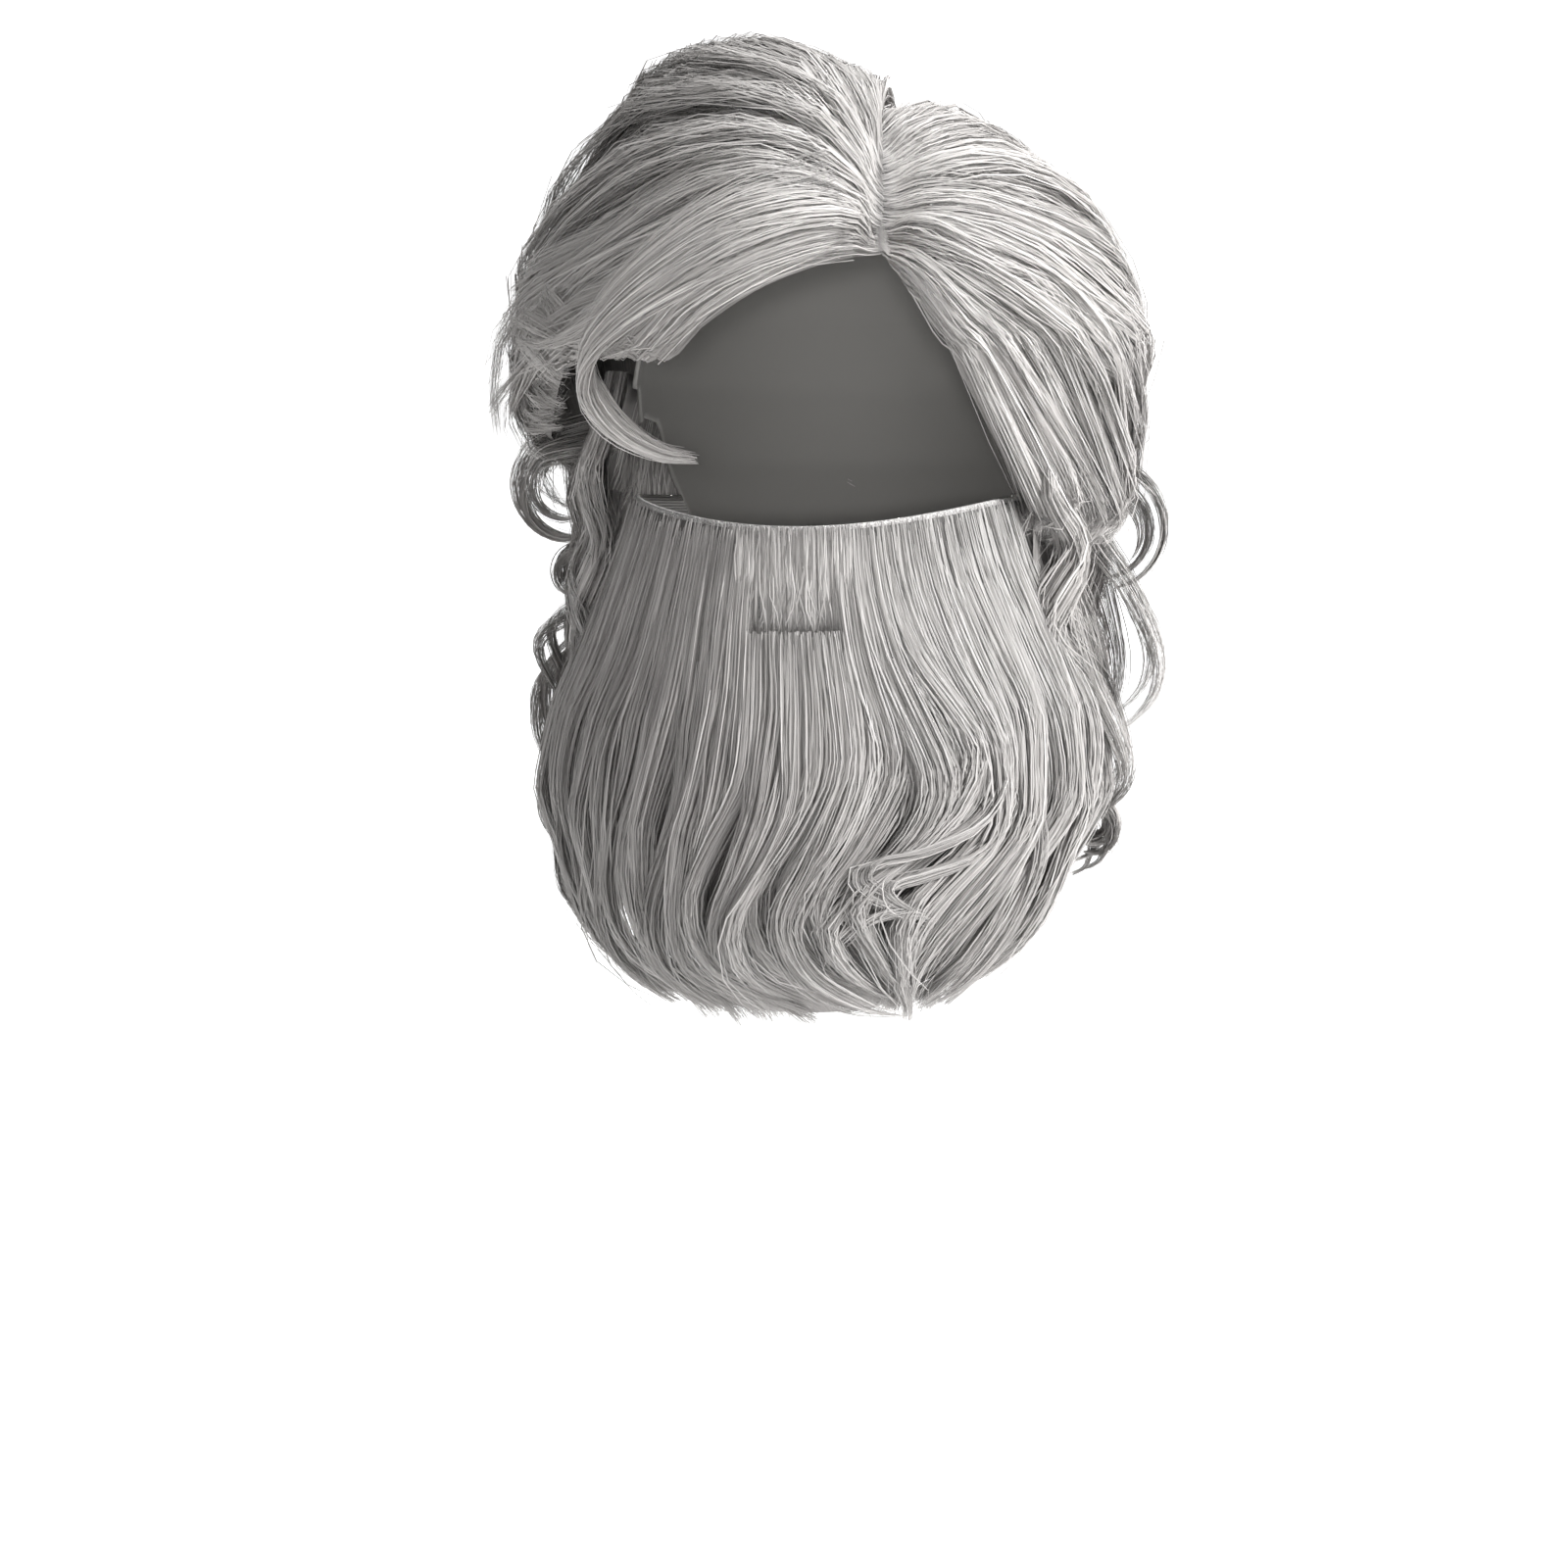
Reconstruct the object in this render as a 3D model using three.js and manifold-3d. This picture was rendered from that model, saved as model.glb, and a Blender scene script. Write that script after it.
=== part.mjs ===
// A grey wig with a full beard: layered wavy hair on a hollow cap, and a beard on a shaped backing
// with an elastic strap, in the form that they keep when they are worn.
// Lengths are millimetres, +Z is up and the wearer's face looks along -Y.
// The origin is where the crown of the head touches the inside of the cap.
import * as THREE from "three";
import { mergeVertices } from "three/addons/utils/BufferGeometryUtils.js";
import Module from "manifold-3d";

const wasm = await Module();
wasm.setup();

// The space for the head, which the cap, the backing and the strap are shaped round
const HEAD_HALF_WIDTH = 77;
const HEAD_HALF_LENGTH = 96;
const HEAD_HEIGHT = 238;
const WIDEST_LEVEL = -100;

// Walls and the gap between pieces that touch
const CLEARANCE = 0.4;
const CAP_WALL = 1.6;
const BACKING_WALL = 1.5;
const STRAP_WALL = 1.2;
const STRAP_WIDTH = 12;

// Wig hair
const CROWN_VOLUME = 50;
const CROWN_FALL = -104;
const CROWN_FALL_BACK = -126;
const PART_FRONT_X = 33;
const PART_BACK_X = -8;
const CROWN_LOCK_WIDTH = 40;
const CROWN_LOCK_THICKNESS = 13;
const HANG_TOP = -92;
const HANG_LENGTH = 190;
const HANG_VOLUME = 24;
const HANG_LOCK_WIDTH = 44;
const HANG_LOCK_THICKNESS = 17;
const CURL_WIDTH = 16;
const CURL_THICKNESS = 7;
const FORELOCK_WIDTH = 17;
const FORELOCK_THICKNESS = 6;

// Beard
const BEARD_TOP = -150;
const BEARD_TOP_RISE = 12;
const STRAP_RISE = 6;
const BEARD_LENGTH = 184;
const BEARD_HALF_WIDTH = 108;
const BEARD_FRONT = 124;
const BEARD_DEPTH = 26;
const BEARD_LOCK_WIDTH = 30;
const BEARD_LOCK_THICKNESS = 15;
const BACKING_BACK = -13;
const BACKING_CORNER_DROP = 34;
const MOUTH_WIDTH = 42;
const MOUTH_HEIGHT = 6;
const MOUTH_LEVEL = -187;
const MOUSTACHE_THICKNESS = 5;

// How finely curved surfaces are divided
const RING_POINTS = 20;
const LOCK_SIDES = 5;
const MERGE_TOLERANCE = 0.15;

const FAR = 400;
const UP = new THREE.Vector3(0, 0, 1);
const { degToRad, lerp, smoothstep } = THREE.MathUtils;

// Turns rows of numbers into objects with the named columns.
function table(columns, rows) {
  const names = columns.split(" ");
  return rows.map((row) => Object.fromEntries(names.map((name, i) => [name, row[i]])));
}

// The value of a column of a table where its first column has the given value.
function along(rows, key, value, column) {
  const next = rows.findIndex((row) => row[key] >= value);
  if (next === 0) return rows[0][column];
  if (next < 0) return rows[rows.length - 1][column];
  const [a, b] = [rows[next - 1], rows[next]];
  return lerp(a[column], b[column], (value - a[key]) / (b[key] - a[key]));
}

// A closed geometry as a solid that can be joined and cut.
function solid(geometry) {
  const bare = geometry.clone();
  bare.deleteAttribute("normal");
  bare.deleteAttribute("uv");
  const welded = mergeVertices(bare, 1e-3);
  return new wasm.Manifold(
    new wasm.Mesh({
      numProp: 3,
      vertProperties: welded.getAttribute("position").array,
      triVerts: new Uint32Array(welded.index.array),
    }),
  );
}

function join(solids) {
  return solids.reduce((whole, next) => whole.add(next));
}

function mainBody(shape) {
  return shape.decompose().reduce((a, b) => (b.volume() > a.volume() ? b : a));
}

// The main body of a shape, without the slivers and pockets that cuts leave, and with its nearly flat
// runs merged.
function tidied(shape) {
  return mainBody(mainBody(shape).simplify(MERGE_TOLERANCE));
}

function cut(whole, ...cutters) {
  return cutters.reduce((left, cutter) => left.subtract(cutter), whole);
}

// A closed skin over rings that hold the same even number of points.
function skin(rings) {
  const count = rings[0].length;
  const faces = [];
  const quad = (a, b, c, d) => faces.push(a, b, c, a, c, d);
  for (let ring = 0; ring + 1 < rings.length; ring++)
    for (let i = 0; i < count; i++) {
      const [here, after] = [ring * count, (ring + 1) * count];
      const next = (i + 1) % count;
      quad(here + i, here + next, after + next, after + i);
    }
  const last = (rings.length - 1) * count;
  for (let i = 0; i + 1 < count / 2; i++) {
    const [across, acrossNext] = [count - 1 - i, count - 2 - i];
    quad(i, across, acrossNext, i + 1);
    quad(last + i, last + i + 1, last + acrossNext, last + across);
  }
  const geometry = new THREE.BufferGeometry().setFromPoints(rings.flat());
  geometry.setIndex(faces);
  return solid(geometry);
}

// A shape drawn in the front view (x, z), extruded from one depth to another along Y.
function frontPrism(points, yFrom, yTo) {
  const outline = new THREE.Shape(points.map(([x, z]) => new THREE.Vector2(x, z)));
  const prism = new THREE.ExtrudeGeometry(outline, { depth: yTo - yFrom, bevelEnabled: false });
  prism.rotateX(Math.PI / 2);
  prism.translate(0, yTo, 0);
  return solid(prism);
}

// A shape drawn in the side view (y, z), extruded right across the object.
function sidePrism(points) {
  const outline = new THREE.Shape(points.map(([y, z]) => new THREE.Vector2(y, z)));
  const prism = new THREE.ExtrudeGeometry(outline, { depth: 2 * FAR, bevelEnabled: false });
  prism.rotateX(Math.PI / 2);
  prism.rotateZ(Math.PI / 2);
  prism.translate(-FAR, 0, 0);
  return solid(prism);
}

function block(xFrom, xTo, yFrom, yTo, zFrom, zTo) {
  const box = new THREE.BoxGeometry(xTo - xFrom, yTo - yFrom, zTo - zFrom);
  box.translate((xFrom + xTo) / 2, (yFrom + yTo) / 2, (zFrom + zTo) / 2);
  return solid(box);
}

// Level sections of the head space, as shares of its height, half width and half length
const HEAD_SECTIONS = table("drop width front back", [
  [0.0, 0.02, 0.02, 0.02],
  [0.014, 0.25, 0.25, 0.25],
  [0.045, 0.45, 0.45, 0.46],
  [0.1, 0.65, 0.65, 0.66],
  [0.18, 0.82, 0.81, 0.84],
  [0.28, 0.94, 0.93, 0.96],
  [0.4, 1.0, 0.99, 1.0],
  [0.525, 1.0, 0.99, 0.97],
  [0.63, 0.975, 0.98, 0.88],
  [0.785, 0.87, 0.96, 0.71],
  [0.9, 0.73, 0.9, 0.62],
  [1.0, 0.6, 0.74, 0.6],
  [1.04, 0.76, 0.46, 0.6],
  [1.55, 0.78, 0.47, 0.62],
]);

// The head space, larger all round by a stand-off. Its rings match at every stand-off, so walls between
// two keep their thickness.
function headSpace(standOff) {
  const rings = HEAD_SECTIONS.map(({ drop, width, front, back }) => {
    const slope = Math.max(0, 1 - drop / HEAD_SECTIONS[6].drop);
    const level = -drop * HEAD_HEIGHT + standOff * slope;
    return Array.from({ length: RING_POINTS }, (_, i) => {
      const turn = ((i + 0.5) / RING_POINTS) * 2 * Math.PI;
      const depth = (Math.sin(turn) < 0 ? front : back) * HEAD_HALF_LENGTH + standOff;
      const x = Math.cos(turn) * (width * HEAD_HALF_WIDTH + standOff);
      return new THREE.Vector3(x, Math.sin(turn) * depth, level);
    });
  });
  return skin(rings.reverse());
}

// Outline of the face opening in the front view, as shares of the half width and the height
const FACE_OUTLINE = table("across drop", [
  [-1.06, 1.6],
  [-1.06, 0.6],
  [-0.97, 0.42],
  [-0.9, 0.35],
  [-0.58, 0.27],
  [-0.29, 0.206],
  [0.25, 0.172],
  [0.47, 0.16],
  [0.58, 0.19],
  [0.72, 0.26],
  [0.87, 0.395],
  [1.0, 0.545],
  [1.06, 0.6],
  [1.06, 1.6],
]);

function faceOpening(rise) {
  const points = FACE_OUTLINE.map(({ across, drop }) => [
    across * HEAD_HALF_WIDTH,
    -drop * HEAD_HEIGHT + rise,
  ]);
  return frontPrism(points, -FAR, 0);
}

// Unit direction from the middle of the head, by azimuth (0 front, 90 to +X) and angle from straight up.
function direction(azimuth, polar) {
  const [turn, tilt] = [degToRad(azimuth), degToRad(polar)];
  return new THREE.Vector3(
    Math.sin(tilt) * Math.sin(turn),
    -Math.sin(tilt) * Math.cos(turn),
    Math.cos(tilt),
  );
}

// The point that stands off the round of the head in the given direction.
function overHead(toward, standOff) {
  const radii = new THREE.Vector3(HEAD_HALF_WIDTH, HEAD_HALF_LENGTH, -WIDEST_LEVEL);
  const surface = toward.clone().multiply(radii);
  const normal = toward.clone().divide(radii).normalize();
  return surface.addScaledVector(normal, standOff).add(new THREE.Vector3(0, 0, WIDEST_LEVEL));
}

// The same by azimuth and level. Under the widest level the surface drops straight down.
function besideHead(azimuth, level, standOff) {
  const rise = THREE.MathUtils.clamp(1 - level / WIDEST_LEVEL, 0, 1);
  const point = overHead(direction(azimuth, THREE.MathUtils.radToDeg(Math.acos(rise))), standOff);
  if (level < WIDEST_LEVEL) point.z = level;
  return point;
}

// How thick the hair stands over the head on each side of the part, by the angle from straight up
const CROWN_PROFILE = table("polar left right", [
  [0, 0.86, 0.42],
  [15, 0.96, 0.52],
  [30, 0.96, 0.6],
  [45, 0.86, 0.66],
  [60, 0.94, 0.76],
  [75, 1.02, 0.88],
  [110, 1.0, 0.88],
]);

// The same round the head, away from the front at azimuth 0
const CROWN_ROUND = table("azimuth share", [
  [0, 0.3],
  [30, 0.36],
  [60, 0.72],
  [90, 1.0],
  [135, 0.84],
  [180, 0.7],
]);

function partX(y) {
  return lerp(PART_FRONT_X, PART_BACK_X, (y / HEAD_HALF_LENGTH + 1) / 2);
}

function crownVolume(side, toward) {
  const polar = THREE.MathUtils.radToDeg(Math.acos(toward.z));
  const azimuth = Math.abs(THREE.MathUtils.radToDeg(Math.atan2(toward.x, -toward.y)));
  const round = along(CROWN_ROUND, "azimuth", azimuth, "share");
  const level = lerp(1, round, Math.sin(degToRad(Math.min(polar, 90))));
  const surface = overHead(toward, 0);
  const fromPart = Math.abs(surface.x - partX(surface.y)) / HEAD_HALF_WIDTH;
  const partDip = lerp(0.4, 1, smoothstep(fromPart, 0, 0.6));
  return CROWN_VOLUME * along(CROWN_PROFILE, "polar", polar, side) * level * partDip;
}

// How full a lock is at a share of its length: slim at the root, pointed at the tip.
function fullness(t) {
  return lerp(0.6, 1, smoothstep(t, 0, 0.3)) * lerp(1, 0.35, smoothstep(t, 0.65, 1));
}

// A lock of hair: a flattened tube swept along its path, broad side out.
function lock(path, width, thickness, steps, grow = 0) {
  const curve = new THREE.CatmullRomCurve3(path, false, "catmullrom", 0.5);
  let outward = path[0].clone().sub(new THREE.Vector3(0, 0, WIDEST_LEVEL));
  const rings = curve.getPoints(steps).map((centre, step) => {
    const t = step / steps;
    const tangent = curve.getTangent(t);
    outward = outward.clone().addScaledVector(tangent, -outward.dot(tangent)).normalize();
    const across = new THREE.Vector3().crossVectors(outward, tangent);
    const past = grow * (Number(step === steps) - Number(step === 0));
    centre.addScaledVector(tangent, past);
    return Array.from({ length: LOCK_SIDES }, (_, i) => {
      const turn = (i / LOCK_SIDES + 0.25) * 2 * Math.PI;
      const [halfWidth, halfThickness] = [width, thickness].map(
        (size) => (size / 2) * fullness(t) + grow,
      );
      return centre
        .clone()
        .addScaledVector(across, Math.cos(turn) * halfWidth)
        .addScaledVector(outward, Math.sin(turn) * halfThickness);
    });
  });
  return skin(rings);
}

// Sweeps of the crown from the part down to the ears: where each starts along the part, the azimuth and
// level of its lower end, and the radius by which its end turns under, as shares of the head's width,
// height and hair volume
const CROWN_SWEEPS = table("start azimuth drop curl", [
  [0.02, -52, 0.4, 0.2],
  [0.05, -72, 0.47, 0.28],
  [0.1, -92, 0.52, 0.34],
  [0.17, -111, 0.54, 0.3],
  [0.26, -130, 0.56, 0.26],
  [0.38, -149, 0.59, 0.26],
  [0.54, -168, 0.6, 0.24],
  [0.02, 60, 0.57, 0.2],
  [0.07, 81, 0.57, 0.32],
  [0.13, 100, 0.55, 0.34],
  [0.22, 119, 0.55, 0.28],
  [0.34, 138, 0.58, 0.24],
  [0.48, 156, 0.6, 0.26],
  [0.62, 173, 0.6, 0.24],
]);

// How deep the middle of a lock lies in the mass, as a share of the volume
const LOCK_BED = 0.06;

function crownPath({ start, azimuth, drop, curl }) {
  const side = azimuth < 0 ? "left" : "right";
  const y = lerp(-0.78, 0.5, start) * HEAD_HALF_LENGTH;
  const aside = (azimuth < 0 ? -0.1 : 0.1) * HEAD_HALF_WIDTH;
  const root = new THREE.Vector3((partX(y) + aside) / HEAD_HALF_WIDTH, y / HEAD_HALF_LENGTH, 0);
  root.z = Math.sqrt(Math.max(0.1, 1 - root.lengthSq()));
  const end = direction(azimuth, 90);
  const shares = [0, 0.14, 0.3, 0.47, 0.65, 0.83];
  const path = shares.map((share) => {
    const toward = root.clone().lerp(end, share).normalize();
    return overHead(toward, crownVolume(side, toward) * (1 - LOCK_BED));
  });
  const sideVolume = crownVolume(side, end);
  const radius = curl * CROWN_VOLUME;
  const lower = besideHead(azimuth, -drop * HEAD_HEIGHT + radius, sideVolume * (1 - LOCK_BED));
  const outward = direction(azimuth, 90);
  const middle = lower.clone().addScaledVector(outward, -radius);
  for (const turn of [0, 60, 120, 180]) {
    const point = middle.clone().addScaledVector(outward, radius * Math.cos(degToRad(turn)));
    path.push(point.addScaledVector(UP, -radius * Math.sin(degToRad(turn))));
  }
  return path;
}

// The mass of the crown's hair on one side of the part.
function crownMass(side) {
  const sphere = new THREE.SphereGeometry(1, 20, 12);
  sphere.rotateX(Math.PI / 2);
  const position = sphere.getAttribute("position");
  const vertex = new THREE.Vector3();
  for (let i = 0; i < position.count; i++) {
    vertex.fromBufferAttribute(position, i).normalize();
    const point = overHead(vertex, crownVolume(side, vertex));
    position.setXYZ(i, point.x, point.y, point.z);
  }
  const under = sidePrism([
    [-FAR, CROWN_FALL],
    [HEAD_HALF_LENGTH * 0.3, CROWN_FALL],
    [HEAD_HALF_LENGTH, CROWN_FALL_BACK],
    [FAR, CROWN_FALL_BACK],
    [FAR, -FAR],
    [-FAR, -FAR],
  ]);
  return cut(solid(sphere), under);
}

// Everything on one side of the upright plane through the part.
function besidePart(side) {
  const edge = [-FAR, FAR].map((y) => [partX(y), y]);
  const away = side === "left" ? -FAR : FAR;
  const gap = (side === "left" ? -0.5 : 0.5) * CLEARANCE;
  const points = [
    [edge[0][0] + gap, edge[0][1]],
    [edge[1][0] + gap, edge[1][1]],
    [away, edge[1][1]],
    [away, edge[0][1]],
  ];
  const outline = new THREE.Shape(points.map(([x, y]) => new THREE.Vector2(x, y)));
  const prism = new THREE.ExtrudeGeometry(outline, { depth: 2 * FAR, bevelEnabled: false });
  prism.translate(0, 0, -FAR);
  return solid(prism);
}

// The lower layer: wavy locks that hang from the cap's lower edge. Columns: azimuth, length as a share, how
// far the lower end stands off and how far it sways as shares of the volume, the waves along it, their
// start, and its flick out
const HANGING = table("azimuth length spread sway waves start flick", [
  [-90, 0.86, 0.8, 0.3, 1.5, 0.1, 0.3],
  [-112, 0.97, 0.95, 0.34, 1.6, 0.5, 0.35],
  [-134, 1.0, 1.0, 0.34, 1.5, 0.8, 0.3],
  [-154, 0.97, 0.95, 0.36, 1.6, 0.2, 0.35],
  [-173, 1.0, 0.9, 0.34, 1.5, 0.6, 0.3],
  [168, 0.97, 0.9, 0.36, 1.6, 0.9, 0.35],
  [148, 1.0, 0.95, 0.34, 1.5, 0.3, 0.3],
  [129, 0.97, 1.0, 0.34, 1.6, 0.7, 0.35],
  [110, 0.98, 0.95, 0.34, 1.5, 0.1, 0.3],
  [90, 0.86, 0.8, 0.3, 1.6, 0.5, 0.35],
]);

function hangingPath({ azimuth, length, spread, sway, waves, start, flick }) {
  return Array.from({ length: 9 }, (_, i) => {
    const t = i / 8;
    const level = HANG_TOP - t * length * HANG_LENGTH;
    const wave = Math.sin(2 * Math.PI * (waves * t + start)) * smoothstep(t, 0.1, 0.5);
    const standOff = lerp(0.35, spread, smoothstep(t, 0, 0.55)) + 0.12 * wave;
    const flicked = standOff + flick * smoothstep(t, 0.8, 1);
    const turned = THREE.MathUtils.radToDeg((sway * wave * HANG_VOLUME) / HEAD_HALF_LENGTH);
    const tuck = 1 - 0.2 * smoothstep(t, 0.75, 1);
    return besideHead(azimuth + turned, level, flicked * HANG_VOLUME * tuck);
  });
}

// Open curls that stand out at the sides, each an arc of a circle seen from the front. Columns: which side,
// how far the circle's middle stands off the head's side and drops below the widest level, its radius, the
// angles it runs between (0 outward, 90 up), how far its start and its end lie behind the middle of the
// head, and its width as a share
const SIDE_CURLS = table("side out drop radius from to behind tail width", [
  [-1, 0.4, 0.195, 0.25, 80, -85, -0.02, 0.14, 1.15],
  [-1, 0.33, 0.3, 0.11, 90, -100, 0.16, 0.06, 0.8],
  [-1, 0.31, 0.43, 0.28, 70, -75, 0.02, 0.2, 1.0],
  [-1, 0.27, 0.6, 0.33, 60, -70, 0.2, 0.02, 1.2],
  [-1, 0.25, 0.78, 0.24, 70, -80, 0.02, 0.16, 1.0],
  [1, 0.34, 0.29, 0.32, 75, -65, 0.16, 0.04, 0.8],
  [1, 0.33, 0.43, 0.31, 60, -80, -0.02, 0.14, 1.3],
  [1, 0.26, 0.61, 0.33, 70, -80, 0.2, 0.04, 1.2],
  [1, 0.28, 0.77, 0.16, 80, -100, 0.02, 0.14, 0.8],
]);

function curlPath({ side, out, drop, radius, from, to, behind, tail }) {
  const size = radius * HEAD_HALF_WIDTH;
  const middle = new THREE.Vector3(
    side * HEAD_HALF_WIDTH * (1 + out),
    0,
    WIDEST_LEVEL - drop * HANG_LENGTH,
  );
  const arc = Array.from({ length: 6 }, (_, i) => {
    const turn = degToRad(lerp(from, to, i / 5));
    const back = lerp(behind, tail, i / 5) * HEAD_HALF_LENGTH;
    const step = new THREE.Vector3(side * Math.cos(turn) * size, back, Math.sin(turn) * size);
    return middle.clone().add(step);
  });
  const inner = side * HEAD_HALF_WIDTH * 1.12;
  const [first, last] = [arc[0], arc[arc.length - 1]];
  const root = new THREE.Vector3(inner, first.y, first.z + 0.1 * size);
  const tip = new THREE.Vector3(inner, last.y, last.z - 0.1 * size);
  return [root, ...arc, tip];
}

// A wall of hair round the head between two azimuths, behind the hanging locks, thickening downward.
function hangingWall(azimuthFrom, azimuthTo, length, grow = 0) {
  const levels = 4;
  const columns = Math.max(3, Math.round(Math.abs(azimuthTo - azimuthFrom) / 18));
  const rings = Array.from({ length: levels + 1 }, (_, i) => {
    const t = i / levels;
    const level = lerp(HANG_TOP + grow, HANG_TOP - length * HANG_LENGTH - grow, t);
    const outer = lerp(0.55, 0.95, smoothstep(t, 0, 0.4)) * HANG_VOLUME + grow;
    const inner = lerp(-0.3, 0.25, smoothstep(t, 0.4, 1)) * HANG_VOLUME - grow;
    const past = THREE.MathUtils.radToDeg(grow / HEAD_HALF_WIDTH);
    const turn = (j) => lerp(azimuthFrom - past, azimuthTo + past, j / columns);
    const row = (standOff) =>
      Array.from({ length: columns + 1 }, (_, j) => besideHead(turn(j), level, standOff));
    return [...row(inner), ...row(outer).reverse()];
  });
  return skin(rings);
}

// Front-view sections of the beard, from its top edge down, as shares of its length, half width, front
// and depth
const BEARD_SECTIONS = table("fall width front depth", [
  [0.0, 0.72, 0.79, 0.2],
  [0.1, 0.78, 0.82, 0.35],
  [0.2, 0.85, 0.86, 0.55],
  [0.4, 0.97, 0.93, 0.85],
  [0.6, 1.0, 0.99, 1.0],
  [0.8, 0.98, 1.0, 1.1],
  [0.92, 0.92, 0.95, 1.0],
  [1.0, 0.84, 0.86, 0.6],
]);

// A point of the beard's outside, or set in from it: across runs from -1 to 1, fall from 0 to 1.
function onBeard(across, fall, setIn) {
  const at = (column) => along(BEARD_SECTIONS, "fall", fall, column);
  const turn = degToRad(80 * across);
  const halfWidth = at("width") * BEARD_HALF_WIDTH - setIn;
  const front = at("front") * BEARD_FRONT - setIn;
  const rise = BEARD_TOP_RISE * Math.sin(turn) ** 2 * (1 - fall);
  const tuckUp = 0.15 * BEARD_LENGTH * Math.abs(across) ** 3 * smoothstep(fall, 0.4, 1);
  return new THREE.Vector3(
    halfWidth * Math.sin(turn),
    -front * Math.cos(turn),
    BEARD_TOP + rise - fall * BEARD_LENGTH + tuckUp,
  );
}

function beardWall() {
  const levels = 5;
  const columns = 10;
  const rings = Array.from({ length: levels + 1 }, (_, i) => {
    const fall = lerp(0, 0.93, i / levels);
    const depth = along(BEARD_SECTIONS, "fall", fall, "depth") * BEARD_DEPTH;
    const row = (setIn) =>
      Array.from({ length: columns + 1 }, (_, j) =>
        onBeard(lerp(-1, 1, j / columns), fall, setIn),
      );
    return [...row(0.3 * depth + depth), ...row(0.3 * depth).reverse()];
  });
  return skin(rings);
}

// Locks of the beard: where each starts and ends across it and down it, its sway as a share of its width,
// the waves along it, their start, and how far its end hooks under as a share of the depth
const BEARD_LOCKS = table("from to top fall sway waves start hook", [
  [-0.95, -0.97, 0.0, 0.82, 0.12, 1.1, 0.55, 0.6],
  [-0.78, -0.84, 0.0, 0.95, 0.2, 1.2, 0.6, 0.8],
  [-0.61, -0.64, 0.0, 0.99, 0.28, 1.2, 0.5, 0.9],
  [-0.44, -0.46, 0.0, 0.96, 0.32, 1.3, 0.45, 0.8],
  [-0.27, -0.28, 0.0, 1.0, 0.34, 1.3, 0.4, 0.7],
  [-0.09, -0.1, 0.24, 0.98, 0.34, 1.2, 0.3, 0.6],
  [0.09, 0.08, 0.24, 1.0, 0.36, 1.3, 0.2, 0.7],
  [0.27, 0.24, 0.0, 0.97, 0.4, 1.3, 0.1, 0.8],
  [0.44, 0.38, 0.0, 1.01, 0.42, 1.3, 0.05, 0.9],
  [0.62, 0.56, 0.0, 0.96, 0.38, 1.2, 0.05, 0.9],
  [0.79, 0.78, 0.0, 0.9, 0.28, 1.2, 0.15, 0.8],
  [0.95, 0.97, 0.0, 0.76, 0.16, 1.1, 0.2, 0.7],
]);

function beardPath({ from, to, top, fall, sway, waves, start, hook }) {
  return Array.from({ length: 9 }, (_, i) => {
    const t = i / 8;
    const down = lerp(top + 0.03, fall, t);
    const wave = Math.sin(2 * Math.PI * (waves * t + start)) * smoothstep(t, 0.25, 0.7);
    const across = lerp(from, to, t) + 0.3 * sway * wave;
    const hooked = hook * BEARD_DEPTH * smoothstep(t, 0.8, 1);
    return onBeard(across, down, 0.22 * BEARD_LOCK_THICKNESS + hooked);
  });
}

// The stray lock that leaves the hairline and curls over the temple, as shares of the head's half width,
// half length and height
const FORELOCK = table("across ahead drop", [
  [0.2, 0.86, 0.15],
  [-0.27, 0.93, 0.185],
  [-0.68, 0.9, 0.262],
  [-0.97, 0.84, 0.345],
  [-1.03, 0.8, 0.412],
  [-0.9, 0.83, 0.475],
  [-0.68, 0.88, 0.517],
  [-0.47, 0.94, 0.528],
]);

function forelock(grow = 0) {
  const path = FORELOCK.map(
    ({ across, ahead, drop }) =>
      new THREE.Vector3(across * HEAD_HALF_WIDTH, -ahead * HEAD_HALF_LENGTH, -drop * HEAD_HEIGHT),
  );
  return lock(path, FORELOCK_WIDTH, FORELOCK_THICKNESS, 13, grow);
}

// The net cap: open at the face, with short tabs before the ears and a lower nape.
function wigCap() {
  const shell = cut(headSpace(CAP_WALL), headSpace(0));
  const rim = sidePrism([
    [-FAR, -0.5 * HEAD_HEIGHT],
    [-0.3 * HEAD_HALF_LENGTH, -0.5 * HEAD_HEIGHT],
    [-0.12 * HEAD_HALF_LENGTH, -0.53 * HEAD_HEIGHT],
    [0.02 * HEAD_HALF_LENGTH, -0.45 * HEAD_HEIGHT],
    [0.25 * HEAD_HALF_LENGTH, -0.46 * HEAD_HEIGHT],
    [0.5 * HEAD_HALF_LENGTH, -0.66 * HEAD_HEIGHT],
    [HEAD_HALF_LENGTH, -0.72 * HEAD_HEIGHT],
    [FAR, -0.72 * HEAD_HEIGHT],
    [FAR, -FAR],
    [-FAR, -FAR],
  ]);
  return cut(shell, rim, faceOpening(3));
}

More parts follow.
